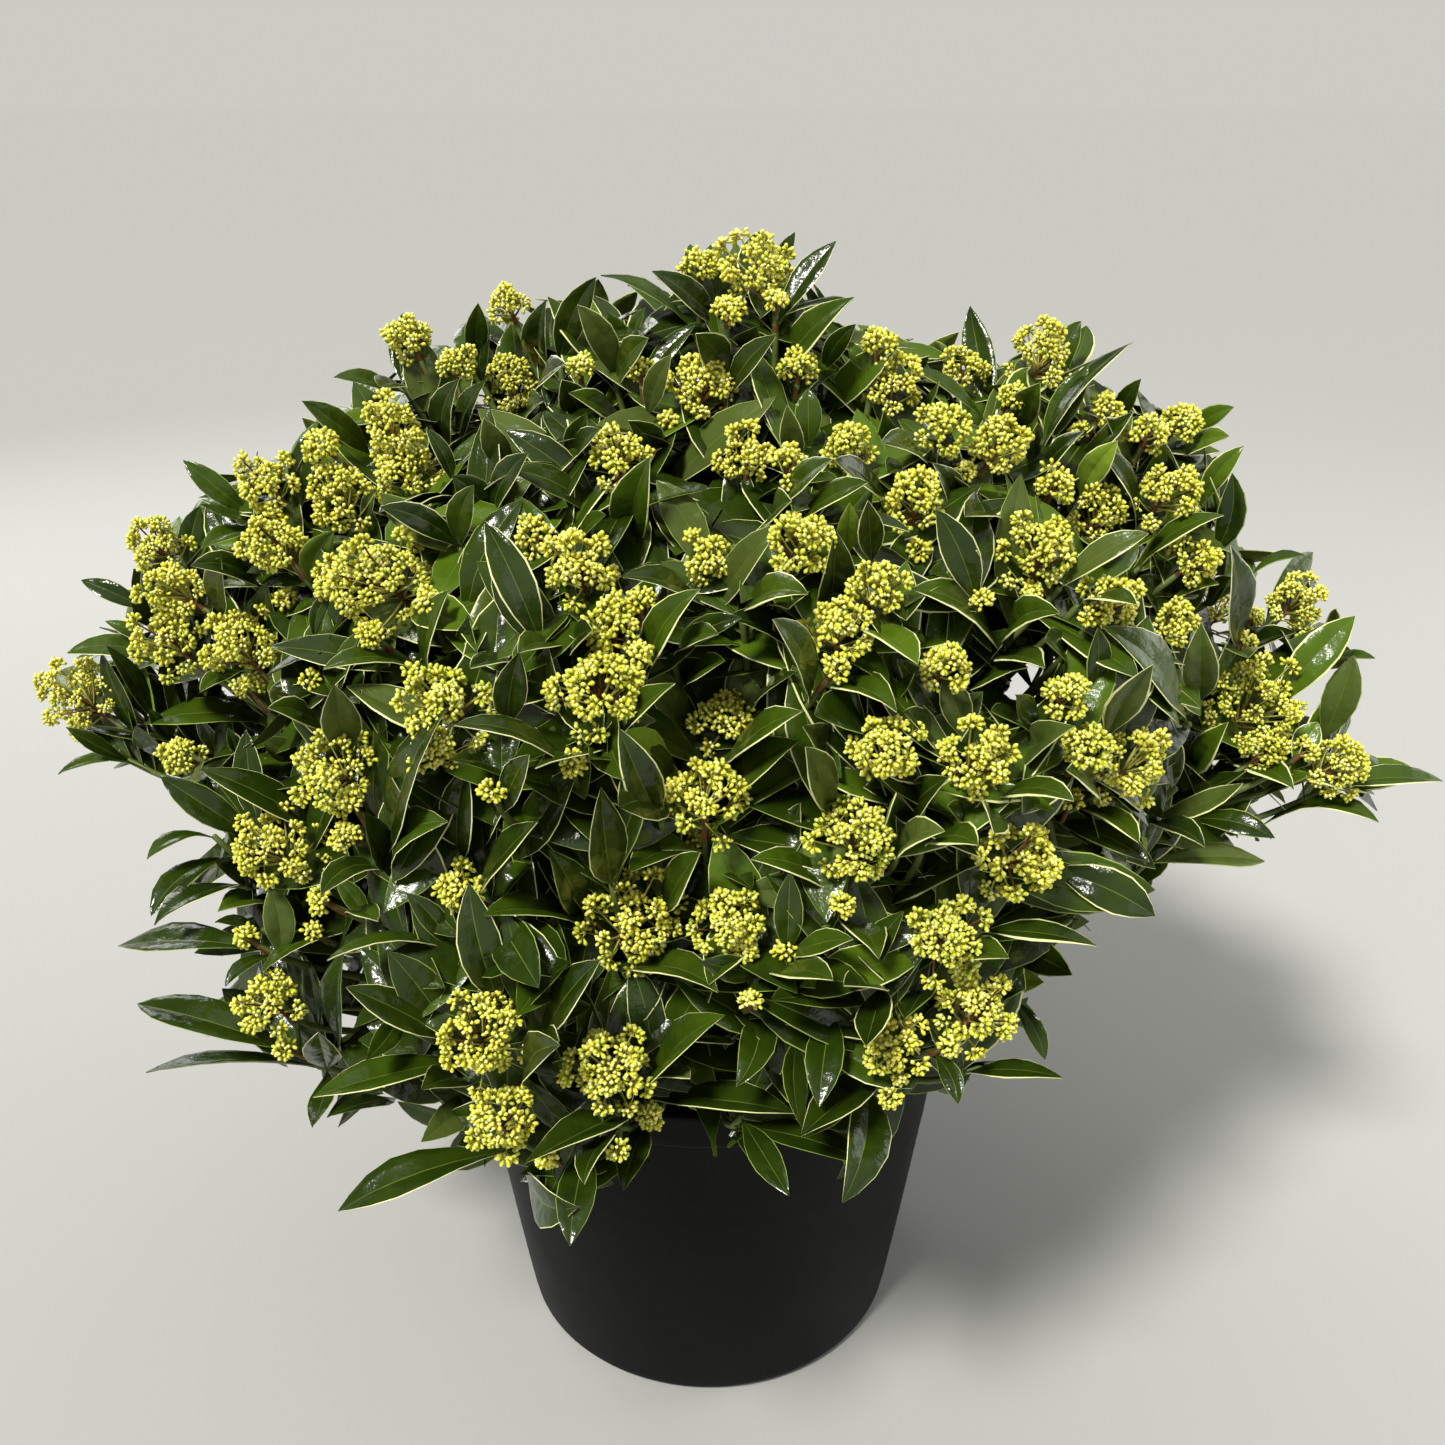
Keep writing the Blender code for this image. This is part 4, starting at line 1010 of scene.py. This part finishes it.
def add_blades(heap, centre, tangent, upper, width, fold, tone, edge, plain):
    """Upper side, midrib, margins and underside of many leaves."""
    n = len(centre)
    if n == 0:
        return
    phase = RNG.uniform(0.0, math.tau, n)
    cols, under = (PLAIN_U, PLAIN_UNDER) if plain else (FINE_U, FINE_UNDER)
    band = np.choose(edge, [RNG.uniform(0.050, 0.074, n), RNG.uniform(0.026, 0.046, n), RNG.uniform(0.018, 0.034, n)])
    band = band * np.clip(0.020 / width, 0.8, 1.6) * (1.0 + 0.6 * np.clip(centre[:, 4, 0] / 0.13, 0.0, 1.0))
    edge = (edge == 2).astype(int)
    cols = np.repeat(cols[None], n, axis=0)
    cols[:, 1], cols[:, -2] = -1.0 + band, 1.0 - band
    if not plain:
        under = np.repeat(under[None], n, axis=0)
        under[:, 1], under[:, -2] = -1.0 + band, 1.0 - band
    top = blades(centre, tangent, upper, width, fold, cols, 0.0, phase)
    low = blades(centre, tangent, upper, width, fold, under, 0.0004, phase)
    rows = len(ROWS)
    ct, cu = cols.shape[-1], under.shape[-1]

    def grid(c):
        i, j = np.meshgrid(np.arange(rows - 1), np.arange(c - 1), indexing="ij")
        a = (i * c + j).ravel()
        return np.stack([a, a + 1, a + c + 1, a + c], -1), j.ravel()

    qt, jt = grid(ct)
    qu, ju = grid(cu)
    per_t, per_u = rows * ct, rows * cu
    points = np.concatenate([top.reshape(n, -1, 3), low.reshape(n, -1, 3)], axis=1)
    first = heap.count
    heap.points.append(points.reshape(-1, 3))
    heap.count += n * (per_t + per_u)
    offset = (np.arange(n) * (per_t + per_u) + first)[:, None, None]
    # columns run across = tangent x upper, rows along the tangent, so this order faces the upper side
    ft = qt[None, :, :] + offset
    fu = qu[None, :, ::-1] + offset + per_t
    if plain:
        mats_t = np.where(((jt == 0) | (jt == ct - 2))[None, :], M_MARGIN + edge[:, None], tone[:, None])
        mats_u = np.broadcast_to((M_UNDER + (tone >= 2).astype(int))[:, None], (n, len(ju)))
    else:
        mats_t = np.where(((jt == 0) | (jt == ct - 2))[None, :], M_MARGIN + edge[:, None],
                          np.where((jt == ct // 2 - 1)[None, :], M_MIDRIB, tone[:, None]))
        mats_u = np.where(((ju == 0) | (ju == cu - 2))[None, :], M_MARGIN + edge[:, None],
                          M_UNDER + (tone >= 2).astype(int)[:, None])
    heap.faces[4] += [ft.reshape(-1, 4), fu.reshape(-1, 4)]
    heap.mats[4] += [mats_t.ravel(), mats_u.ravel()]


def add_leaves(heap, leaf):
    for plain in (0, 1):
        sel = leaf["plain"] == plain
        part = {k: v[sel] for k, v in leaf.items()}
        if not sel.any():
            continue
        centre, tangent, upper = lines_of(part)
        add_blades(heap, centre, tangent, upper, part["width"], part["fold"], part["tone"], part["edge"], plain)


# ------------------------------------------------------------------ flower heads
def cap_directions(axis, n, widest, phase=0.0):
    """n directions spread evenly over a cap round an axis."""
    e1, e2 = across_of(axis)
    e1, e2 = e1[0], e2[0]
    k = np.arange(n) + 0.5
    cosine = 1.0 - k / n * (1.0 - math.cos(widest))
    sine = np.sqrt(np.clip(1.0 - cosine ** 2, 0.0, 1.0))
    phi = k * GOLD + phase
    return cosine[:, None] * axis + sine[:, None] * (np.cos(phi)[:, None] * e1 + np.sin(phi)[:, None] * e2)


def bud_form(sides, rings):
    """A small bud on its short foot: a few faces, the last of them its pale tip."""
    turn = np.arange(sides) * (math.tau / sides)
    pts = [[0.0, 0.0, -2.0]]
    for z, r in rings:
        pts += [[math.cos(t) * r, math.sin(t) * r, z] for t in turn]
    pts.append([0.0, 0.0, 1.0])
    m = [(k, (k + 1) % sides) for k in range(sides)]
    faces = [[0, 1 + b, 1 + a] for a, b in m]
    for i in range(len(rings) - 1):
        p, q = 1 + i * sides, 1 + (i + 1) * sides
        for a, b in m:
            faces += [[p + a, p + b, q + b], [p + a, q + b, q + a]]
    last = 1 + (len(rings) - 1) * sides
    faces += [[len(pts) - 1, last + a, last + b] for a, b in m]
    return np.array(pts), np.array(faces)


NEAR_P, NEAR_F = bud_form(4, ((-0.15, 0.94), (0.52, 0.82)))
FAR_P, FAR_F = bud_form(4, ((0.20, 1.0),))


def grow_heads():
    """Places of every bud, its way, size and tone, and the stalks under them."""
    at, way, rad, tone_all, fine, stalks = [], [], [], [], [], []
    for s in SHOOTS:
        if not s.head:
            continue
        R, a = s.size, s.axis
        centre = s.tip + a * R * 0.95
        near = s.seen
        count = int(np.clip(round((18 if near else 13) * (R / 0.0125) ** 1.6), 2, 36))
        ways = cap_directions(a, count, math.radians(122 if R > 0.007 else 95), RNG.uniform(0, 6.3))
        tone_bias = float(np.clip(0.30 + (0.34 - centre[2]) * 2.2 + RNG.normal(0.0, 0.22), 0.0, 1.15))
        thick = 0.72 if s.stray else 1.0
        stalks.append((np.array([s.tip - a * 0.006, s.tip + a * R * 0.3, centre - a * R * 0.25, centre + a * R * 0.1]),
                       np.array([0.00122, 0.00112, 0.0008, 0.0005]) * thick, 0, 6))
        lump = RNG.normal(0.0, 1.0, 3)
        for w in ways:
            along = float(np.dot(w, a))
            swell = 1.0 + 0.16 * math.sin(3.1 * float(np.dot(w, lump)) + 6.0 * float(np.dot(w, a)))
            w = unit(w + RNG.normal(0.0, 0.13, 3))
            room = max(0.0006, R * swell - 0.0034)
            reach = room * (RNG.uniform(0.78, 1.14) if RNG.random() < 0.80 else RNG.uniform(0.30, 0.68))
            if along < 0.1:
                reach = room * RNG.uniform(0.80, 1.10)
            c = centre + w * reach - a * R * (0.28 if along < -0.1 else 0.0) * RNG.uniform(0.2, 1.4)
            rise = max(0.05 * R, float(np.dot(c - s.tip, a)) * 0.40)
            foot = s.tip + a * rise
            mid = foot + (c - foot) * 0.5 - a * 0.0004
            stalks.append((np.array([foot, mid, c]), np.array([0.00055, 0.00045, 0.00035]), 0 if RNG.random() < 0.30 else 1, 3))
            groups = int(round(RNG.uniform(3.8, 5.9) if near else RNG.uniform(2.8, 4.4)))
            if R < 0.008:
                groups = max(2, groups - 1)
            for g in cap_directions(w, groups, math.radians(80), RNG.uniform(0, 6.3)):
                g = unit(g + RNG.normal(0.0, 0.12, 3))
                gc = c + g * (0.0013 + 0.035 * R) * RNG.uniform(0.7, 1.25)
                if near:
                    stalks.append((np.array([c, gc]), np.array([0.0003, 0.00025]), 1, 3))
                buds = int(round(RNG.uniform(3.2, 5.4) if near else RNG.uniform(2.6, 4.2)))
                dirs = unit(cap_directions(g, buds, math.radians(72), RNG.uniform(0, 6.3)) + RNG.normal(0.0, 0.10, (buds, 3)))
                r = RNG.uniform(0.00070, 0.00091, buds) if near else RNG.uniform(0.00098, 0.00122, buds)
                place = gc + dirs * (r * RNG.uniform(2.0, 3.0, buds))[:, None]
                pick = RNG.random(buds) + 0.25 * (0.3 - along) + (tone_bias - 0.5) * 0.5
                at.append(place)
                way.append(dirs)
                rad.append(r)
                tone_all.append(np.where(pick < 0.42, 0, np.where(pick < 1.00, 1, 2)))
                fine.append(np.full(buds, bool(near and reach > 0.70 * room and along > -0.25)))
    return (np.concatenate(at), np.concatenate(way), np.concatenate(rad), np.concatenate(tone_all),
            np.concatenate(fine), stalks)


BUD_AT, BUD_WAY, BUD_R, BUD_TONE, BUD_FINE, HEAD_STALKS = grow_heads()
print("buds", len(BUD_AT), "near", int(BUD_FINE.sum()))


def add_buds(heap, pick):
    for form_p, form_f, sel in ((NEAR_P, NEAR_F, pick[BUD_FINE[pick]]), (FAR_P, FAR_F, pick[~BUD_FINE[pick]])):
        if len(sel) == 0:
            continue
        way, n = BUD_WAY[sel], len(sel)
        e1, e2 = across_of(way)
        pts = (form_p[None, :, 0:1] * e1[:, None, :] + form_p[None, :, 1:2] * e2[:, None, :]
               + form_p[None, :, 2:3] * way[:, None, :] * 1.2)
        pts = BUD_AT[sel][:, None, :] + pts * BUD_R[sel][:, None, None]
        first = heap.count
        heap.points.append(pts.reshape(-1, 3))
        heap.count += n * len(form_p)
        faces = form_f[None] + (np.arange(n) * len(form_p) + first)[:, None, None]
        heap.faces[3].append(faces.reshape(-1, 3))
        tip = np.where((sel * 7919) % 10 < 7, 3, 4)
        is_tip = np.arange(len(form_f)) >= len(form_f) - (5 if len(form_p) > 6 else 4)
        heap.mats[3].append(np.where(is_tip[None, :], tip[:, None], BUD_TONE[sel][:, None]).ravel())


# ------------------------------------------------------------------ stem, boughs and twigs
def bough_line(name):
    """The middle line of a CAD bough, from its tip back to the stem, and its radii."""
    pts = world_points(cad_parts[name])
    fork = np.array([0.0015, -0.0005, 0.205])
    order = np.argsort(-np.linalg.norm(pts - fork, axis=1))
    pts = pts[order]
    line, radii = [], []
    for k in range(0, min(len(pts) // 8, 8)):
        ring = pts[k * 8:(k + 1) * 8]
        line.append(ring.mean(0))
        radii.append(np.linalg.norm(ring - ring.mean(0), axis=1).mean())
    return np.array(line), np.array(radii)


def smooth_path(points, n):
    """A smooth curve through the points, evenly spaced."""
    points = np.asarray(points, float)
    t = np.concatenate([[0.0], np.cumsum(np.linalg.norm(np.diff(points, axis=0), axis=1))])
    s = np.linspace(0.0, t[-1], n)
    m = np.gradient(points, t, axis=0)
    k = np.clip(np.searchsorted(t, s, side="right") - 1, 0, len(t) - 2)
    h = (t[k + 1] - t[k])[:, None]
    x = ((s - t[k])[:, None]) / h
    return ((2 * x ** 3 - 3 * x ** 2 + 1) * points[k] + (x ** 3 - 2 * x ** 2 + x) * h * m[k]
            + (-2 * x ** 3 + 3 * x ** 2) * points[k + 1] + (x ** 3 - x ** 2) * h * m[k + 1])


def bark_relief(seed, depth):
    def relief(share, angle):
        out = np.empty(len(angle))
        for i, a in enumerate(angle):
            v = Vector((math.cos(a) * 1.6, math.sin(a) * 1.6, share * 26.0 + seed * 7.1))
            w = Vector((math.cos(a) * 4.0, math.sin(a) * 4.0, share * 9.0 + seed * 3.3))
            out[i] = 1.0 + depth * noise.noise(v) + depth * 0.8 * noise.noise(w)
        return out
    return relief


def in_crown(path):
    return bool(inside(project(np.asarray(path))[:, :2], OUTLINE).all())


def limb(p0, p1, p2, p3, n):
    """A curve that arches up as far as it has to, to stay within the crown's outline."""
    for lift in (0.0, 0.006, 0.012, 0.020, 0.030, 0.042):
        up = np.array([0.0, 0.0, lift])
        path = bezier(p0, p1 + up, p2 + up, p3, n)
        if in_crown(path):
            return path
    return bezier(p0, p1, p2, p3, n)


def branch(heap, start, way, goals, radius, depth=0):
    """Grows limbs from a point to a group of shoots, forking until each has its own."""
    if len(goals) == 1:
        s = goals[0]
        foot, foot_way = s["foot"], s["way"]
        gap = np.linalg.norm(foot - start)
        path = limb(start, start + way * gap * 0.35, foot - foot_way * gap * 0.35, foot, 7 if gap > 0.03 else 5)
        tube(heap, path, np.linspace(radius, 0.00150, len(path)), 6, 1 if radius > 0.0022 else 0)
        return
    feet = np.array([g["foot"] for g in goals])
    centre = feet.mean(0)
    spread = feet - centre
    _, _, axes = np.linalg.svd(spread, full_matrices=False)
    score = spread @ axes[0]
    cut = np.median(score)
    left = [g for g, v in zip(goals, score) if v <= cut]
    right = [g for g, v in zip(goals, score) if v > cut]
    if not right:
        left, right = goals[:1], goals[1:]
    gap = np.linalg.norm(centre - start)
    step = 0.42 if len(goals) > 3 else 0.5
    knot = start + (centre - start) * step + way * gap * 0.08 + RNG.normal(0.0, 0.0025, 3)
    knot[2] += 0.006 + 0.05 * gap
    knot_way = unit(unit(centre - start) + way * 0.35)
    for lift in (0.0, 0.008, 0.016, 0.026):
        if in_crown([knot + np.array([0.0, 0.0, lift])]):
            knot[2] += lift
            break
    path = limb(start, start + way * gap * step * 0.35, knot - knot_way * gap * step * 0.35, knot, 6)
    thin = max(0.0016, radius * 0.80)
    tube(heap, path, np.linspace(radius, thin, len(path)), 7, 1 if radius > 0.0021 else 0)
    for group in (left, right):
        share = (len(group) / len(goals)) ** 0.42
        branch(heap, knot - knot_way * 0.001, knot_way, group, max(0.0016, thin * share), depth + 1)


def grow_wood():
    bark, twigs = Heap(), Heap()
    # the stem: the CAD stem's own place and flare, with ridged bark
    stem = world_points(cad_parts["main_stem"])
    low, high = stem[:, 2].min(), stem[:, 2].max()
    levels = np.linspace(low, high - 0.0006, 34)
    path, radii = [], []
    for z in levels:
        share = (z - low) / (high - low)
        path.append([0.0030 * share, -0.0010 * share, z])
        flare = 0.0052 * (1.0 - share) ** 6
        crown = 1.0 - 0.5 * max(0.0, (share - 0.90) / 0.10) ** 2
        radii.append((0.0118 + flare) * crown)
    tube(bark, path, radii, 40, 0, relief=bark_relief(1.0, 0.10))
    by_mass = {}
    for s in SHOOTS:
        if s.stray:
            h = s.host
            root = h.tip - h.axis * 0.006
            gap = float(np.linalg.norm(root - s.tip))
            path = bezier(root, root + h.axis * gap * 0.25, s.tip - s.axis * gap * 0.4, s.tip, 6)
            tube(twigs, path, np.linspace(0.00115, 0.00085, 6), 6, 0)
            continue
        for outward in (0.4, 0.9, 1.8, 4.0):
            back = unit(s.axis * 0.6 + unit(s.tip - HEART) * outward)
            foot = s.tip - back * s.length
            if in_crown([foot, (foot + s.tip) / 2 - s.axis * 0.004]):
                break
        by_mass.setdefault(s.mass, []).append({"foot": foot, "way": back, "shoot": s})
        path = bezier(foot, foot + back * s.length * 0.33, s.tip - s.axis * s.length * 0.33, s.tip, 6)
        tube(twigs, path, np.linspace(0.00150, 0.00118, 6), 6, 0)
    for i, name in enumerate(MASS_NODES):
        bough = name.replace("foliage_", "bough_")
        line, rad = bough_line(bough)
        line = line[::-1]
        rad = rad[::-1]
        away = unit(line[0] - np.array([0.0015, -0.0005, line[0][2]]))
        root = np.array([0.0018, -0.0006, line[0][2] - 0.002]) + away * 0.008
        pts = smooth_path(np.concatenate([[root], line]), 34)
        r = np.interp(np.linspace(0, 1, 34), np.linspace(0.05, 1, len(rad)), rad)
        tube(bark, pts, r, 14, 0, relief=bark_relief(3.0 + i, 0.09))
        goals = by_mass.get(i, [])
        if goals:
            way = unit(pts[-1] - pts[-4])
            branch(twigs, pts[-1] - way * 0.002, way, goals, float(r[-1]) * 0.96)
    return bark, twigs


BARK_HEAP, TWIG_HEAP = grow_wood()


# ------------------------------------------------------------------ pot and compost
def turned(name, profile, steps, materials, smooth=True, shape=None):
    heap = Heap()
    profile = np.asarray(profile, float)
    n = len(profile)
    a = np.arange(steps) * (math.tau / steps)
    r = profile[:, 0][:, None] * np.ones(steps)[None]
    z = profile[:, 1][:, None] * np.ones(steps)[None]
    if shape is not None:
        r, z = shape(r, z, a[None])
    pts = np.stack([r * np.cos(a)[None], r * np.sin(a)[None], z], -1)
    i, j = np.meshgrid(np.arange(n - 1), np.arange(steps), indexing="ij")
    k = (j + 1) % steps
    quads = np.stack([i * steps + j, (i + 1) * steps + j, (i + 1) * steps + k, i * steps + k], -1).reshape(-1, 4)
    heap.add(pts.reshape(-1, 3), quads, 0)
    return heap, pts


def pot_material():
    mat, tree, shader = principled("charcoal_moulded_plastic")
    where, field, ramp = noise_colour(tree, shader, (0.0033, 0.0040, 0.0040), (0.0055, 0.0064, 0.0064), 9.0, 5.0)
    bump(tree, shader, where, 900.0, 0.12, 0.0004, 3.0)
    rough = node(tree, "ShaderNodeTexNoise", Scale=26.0, Detail=6.0)
    tree.links.new(where.outputs["Object"], rough.inputs["Vector"])
    ramp2 = tree.nodes.new("ShaderNodeMapRange")
    ramp2.inputs["To Min"].default_value = 0.42
    ramp2.inputs["To Max"].default_value = 0.58
    tree.links.new(rough.outputs["Fac"], ramp2.inputs["Value"])
    tree.links.new(ramp2.outputs["Result"], shader.inputs["Roughness"])
    shader.inputs["Specular IOR Level"].default_value = 0.08
    return mat


def build_pot():
    prof = []
    lip = 0.180 - 0.0165
    # underside, from the middle outward, then up the outside
    prof += [(0.0, 0.0), (0.050, 0.0), (0.0870, 0.0), (0.0885, 0.0004), (0.0898, 0.0016), (pot_wall(0.0035), 0.0036)]
    for z in np.linspace(0.006, lip - 0.002, 46):
        r = pot_wall(z)
        # faint rings left by the mould
        r += 0.00018 * math.sin(z * 900.0) + 0.00035 * math.exp(-((z - 0.112) / 0.0011) ** 2) + 0.00030 * math.exp(-((z - 0.128) / 0.0010) ** 2)
        prof.append((r, z))
    prof += [(pot_wall(lip), lip - 0.0006), (0.1138, lip - 0.0001), (0.1152, lip), (0.1162, lip + 0.0007), (0.1167, lip + 0.0018)]
    for z in np.linspace(lip + 0.004, 0.180 - 0.0022, 5):
        prof.append((0.1166 + 0.0005 * (z - lip) / 0.0165, z))
    prof += [(0.1171, 0.1790), (0.1166, 0.1797), (0.1156, 0.1800), (0.1134, 0.1799), (0.1122, 0.1794), (0.1113, 0.1784)]
    for z in np.linspace(0.176, 0.004, 16):
        prof.append((pot_wall(z) - 0.0020, z))
    prof += [(0.084, 0.0031), (0.0, 0.0031)]
    heap, _ = turned("pot_moulded", prof, 144, None)
    return heap.mesh("pot_moulded", [pot_material()])


def build_soil():
    rings = 34
    heap = Heap()
    steps = 96
    outer = pot_wall(0.1635) - 0.0026
    a = np.arange(steps) * (math.tau / steps)
    pts = []
    for i in range(rings):
        r = outer * (i / (rings - 1)) ** 0.8 + 1e-5
        for t in a:
            x, y = r * math.cos(t), r * math.sin(t)
            z = 0.1636 + 0.0018 * noise.noise(Vector((x * 60, y * 60, 0.3))) + 0.0012 * noise.noise(Vector((x * 210, y * 210, 4.0)))
            z += 0.0006 * noise.noise(Vector((x * 520, y * 520, 9.0)))
            pts.append((x, y, z - 0.0015 * (i / (rings - 1)) ** 6))
    low = [(0.55 * outer * math.cos(t), 0.55 * outer * math.sin(t), 0.0045) for t in a]
    wall = [((pot_wall(0.02) - 0.006) * math.cos(t), (pot_wall(0.02) - 0.006) * math.sin(t), 0.010) for t in a]
    pts += wall + low
    n = rings + 2
    i, j = np.meshgrid(np.arange(n - 1), np.arange(steps), indexing="ij")
    k = (j + 1) % steps
    quads = np.stack([i * steps + j, (i + 1) * steps + j, (i + 1) * steps + k, i * steps + k], -1).reshape(-1, 4)
    heap.add(pts, quads, 0)
    # bark chips and crumbs
    cube = np.array([(x, y, z) for x in (-1, 1) for y in (-1, 1) for z in (-1, 1)], float)
    sides = np.array([(0, 1, 3, 2), (4, 6, 7, 5), (0, 4, 5, 1), (2, 3, 7, 6), (0, 2, 6, 4), (1, 5, 7, 3)])
    for _ in range(420):
        r = outer * math.sqrt(RNG.random()) * 0.97
        t = RNG.uniform(0, math.tau)
        at = np.array([r * math.cos(t), r * math.sin(t), 0.1642])
        size = RNG.uniform(0.0008, 0.0030) * np.array([1.0, RNG.uniform(0.4, 0.8), RNG.uniform(0.25, 0.5)])
        spin = np.array(Matrix.Rotation(RNG.uniform(0, 6.3), 3, "Z") @ Matrix.Rotation(RNG.normal(0, 0.4), 3, "X"))
        chip = (cube * size * RNG.uniform(0.75, 1.15, (8, 3))) @ spin.T + at
        heap.add(chip, sides, 1 if RNG.random() < 0.6 else 2)
    mats = [
        plain_material("compost_dark", (0.016, 0.011, 0.007), (0.045, 0.030, 0.018), 0.95, 220.0, 0.8, 700.0, 0.2),
        plain_material("compost_bark_chip", (0.055, 0.032, 0.018), (0.110, 0.065, 0.035), 0.90, 160.0, 0.6, 500.0, 0.2),
        plain_material("compost_fibre", (0.085, 0.062, 0.040), (0.150, 0.110, 0.070), 0.92, 160.0, 0.6, 500.0, 0.2),
    ]
    return heap.mesh("compost_surface", mats, smooth=False)


# ------------------------------------------------------------------ pieces
def piece(obj, nodes):
    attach(obj, "root")
    if nodes:
        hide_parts(*nodes)
    return obj


def build_pieces():
    # leaves in pieces by depth, each under the limit
    order = np.argsort(LEAVES["base"][:, 1])
    names = ("leaves_front", "leaves_middle", "leaves_back")
    groups = {"leaves_front": MASS_NODES[0::3], "leaves_middle": MASS_NODES[1::3], "leaves_back": MASS_NODES[2::3]}
    run = np.cumsum(np.where(LEAVES["plain"] == 1, 96, 176)[order]) + 176 * len(READ_LEAVES["centre"])
    for k, name in enumerate(names):
        part = order[(run > run[-1] * k / 3) & (run <= run[-1] * (k + 1) / 3)]
        heap = Heap()
        add_leaves(heap, {k: v[part] for k, v in LEAVES.items()})
        if name == "leaves_front":
            r = READ_LEAVES
            add_blades(heap, r["centre"], r["tangent"], r["upper"], r["width"], r["fold"], r["tone"], r["edge"], 0)
        print(name, heap.triangles())
        piece(heap.mesh(name, LEAF_MATS), groups[name])
    cost = np.where(BUD_FINE, len(NEAR_F), len(FAR_F))
    order = np.argsort(BUD_AT[:, 1])
    share = np.cumsum(cost[order])
    pieces = max(1, math.ceil(share[-1] / 180000))
    for k in range(pieces):
        part = order[(share > share[-1] * k / pieces) & (share <= share[-1] * (k + 1) / pieces)]
        heap = Heap()
        add_buds(heap, part)
        print("buds", k, heap.triangles())
        piece(heap.mesh("flower_buds_%d" % (k + 1), BUDS), ())
    heap = Heap()
    for path, radii, mat, sides in HEAD_STALKS:
        tube(heap, path, radii, sides, mat, cap=False)
    print("stalks", heap.triangles())
    piece(heap.mesh("flower_stalks", STALKS), ())
    print("twigs", TWIG_HEAP.triangles())
    piece(TWIG_HEAP.mesh("twigs", TWIGS), ())
    bark = plain_material("bark_brown", (0.070, 0.050, 0.030), (0.150, 0.115, 0.070), 0.85, 120.0, 0.8, 260.0, 0.25)
    print("bark", BARK_HEAP.triangles())
    piece(BARK_HEAP.mesh("stem_and_boughs_bark", [bark]), ["main_stem"] + BOUGH_NODES)
    piece(build_pot(), ["pot"])
    piece(build_soil(), ["potting_soil"])


build_pieces()


# ------------------------------------------------------------------ floor, light and camera
def stage():
    bpy.ops.mesh.primitive_plane_add(size=90.0, location=(0.0, 0.0, -0.0004))
    floor = bpy.context.object
    floor.name = "floor"
    mat, tree, shader = principled("pale_floor")
    shader.inputs["Base Color"].default_value = (0.38, 0.38, 0.365, 1.0)
    shader.inputs["Roughness"].default_value = 0.85
    floor.data.materials.append(mat)

    world = bpy.data.worlds.new("studio")
    bpy.context.scene.world = world
    world.use_nodes = True
    back = world.node_tree.nodes["Background"]
    back.inputs["Strength"].default_value = 0.86
    # a studio sweep: pale along the horizon, dimmer overhead
    tree = world.node_tree
    where = tree.nodes.new("ShaderNodeTexCoord")
    split = tree.nodes.new("ShaderNodeSeparateXYZ")
    sweep = tree.nodes.new("ShaderNodeValToRGB")
    tree.links.new(where.outputs["Generated"], split.inputs["Vector"])
    tree.links.new(split.outputs["Z"], sweep.inputs["Fac"])
    tree.links.new(sweep.outputs["Color"], back.inputs["Color"])
    sweep.color_ramp.interpolation = "EASE"
    sweep.color_ramp.elements[0].position = 0.10
    sweep.color_ramp.elements[0].color = (0.70, 0.69, 0.64, 1.0)
    sweep.color_ramp.elements[1].position = 0.50
    sweep.color_ramp.elements[1].color = (0.105, 0.105, 0.092, 1.0)

    def sun(name, at, strength, angle, colour):
        data = bpy.data.lights.new(name, "SUN")
        data.energy = strength
        data.angle = math.radians(angle)
        data.color = colour
        obj = bpy.data.objects.new(name, data)
        obj.location = at
        obj.rotation_euler = (-Vector(at)).to_track_quat("-Z", "Y").to_euler()
        bpy.context.scene.collection.objects.link(obj)

    def lamp(name, at, aim, size, power, colour=(1.0, 1.0, 1.0)):
        data = bpy.data.lights.new(name, "AREA")
        data.shape = "DISK"
        data.size = size
        data.energy = power
        data.color = colour
        obj = bpy.data.objects.new(name, data)
        obj.location = at
        obj.rotation_euler = (Vector(aim) - Vector(at)).to_track_quat("-Z", "Y").to_euler()
        bpy.context.scene.collection.objects.link(obj)

    sun("key", (-0.60, -0.95, 1.45), 4.6, 12.0, (1.0, 0.985, 0.94))
    sun("top", (0.30, 0.20, 1.60), 0.75, 80.0, (1.0, 0.99, 0.95))
    sun("front", (0.35, -1.30, 0.80), 0.22, 60.0, (1.0, 0.99, 0.95))
    lamp("fill", (1.4, -1.1, 0.9), (0.0, 0.0, 0.25), 1.2, 3.5)
    lamp("rim", (-1.1, 1.4, 1.2), (0.0, 0.0, 0.3), 1.0, 12.0)
    lamp("side", (1.7, 0.6, 0.9), (0.0, 0.0, 0.3), 1.2, 8.0)

    data = bpy.data.cameras.new("camera")
    data.sensor_width = 36.0
    data.sensor_fit = "HORIZONTAL"
    data.lens = 36.0 * FOCAL / IMAGE
    data.clip_start = 0.01
    cam = bpy.data.objects.new("camera", data)
    cam.location = CAM_AT
    cam.rotation_euler = (math.radians(90.0) - CAM_DOWN, 0.0, 0.0)
    bpy.context.scene.collection.objects.link(cam)
    bpy.context.scene.camera = cam
    bpy.context.scene.view_settings.view_transform = "Standard"


stage()
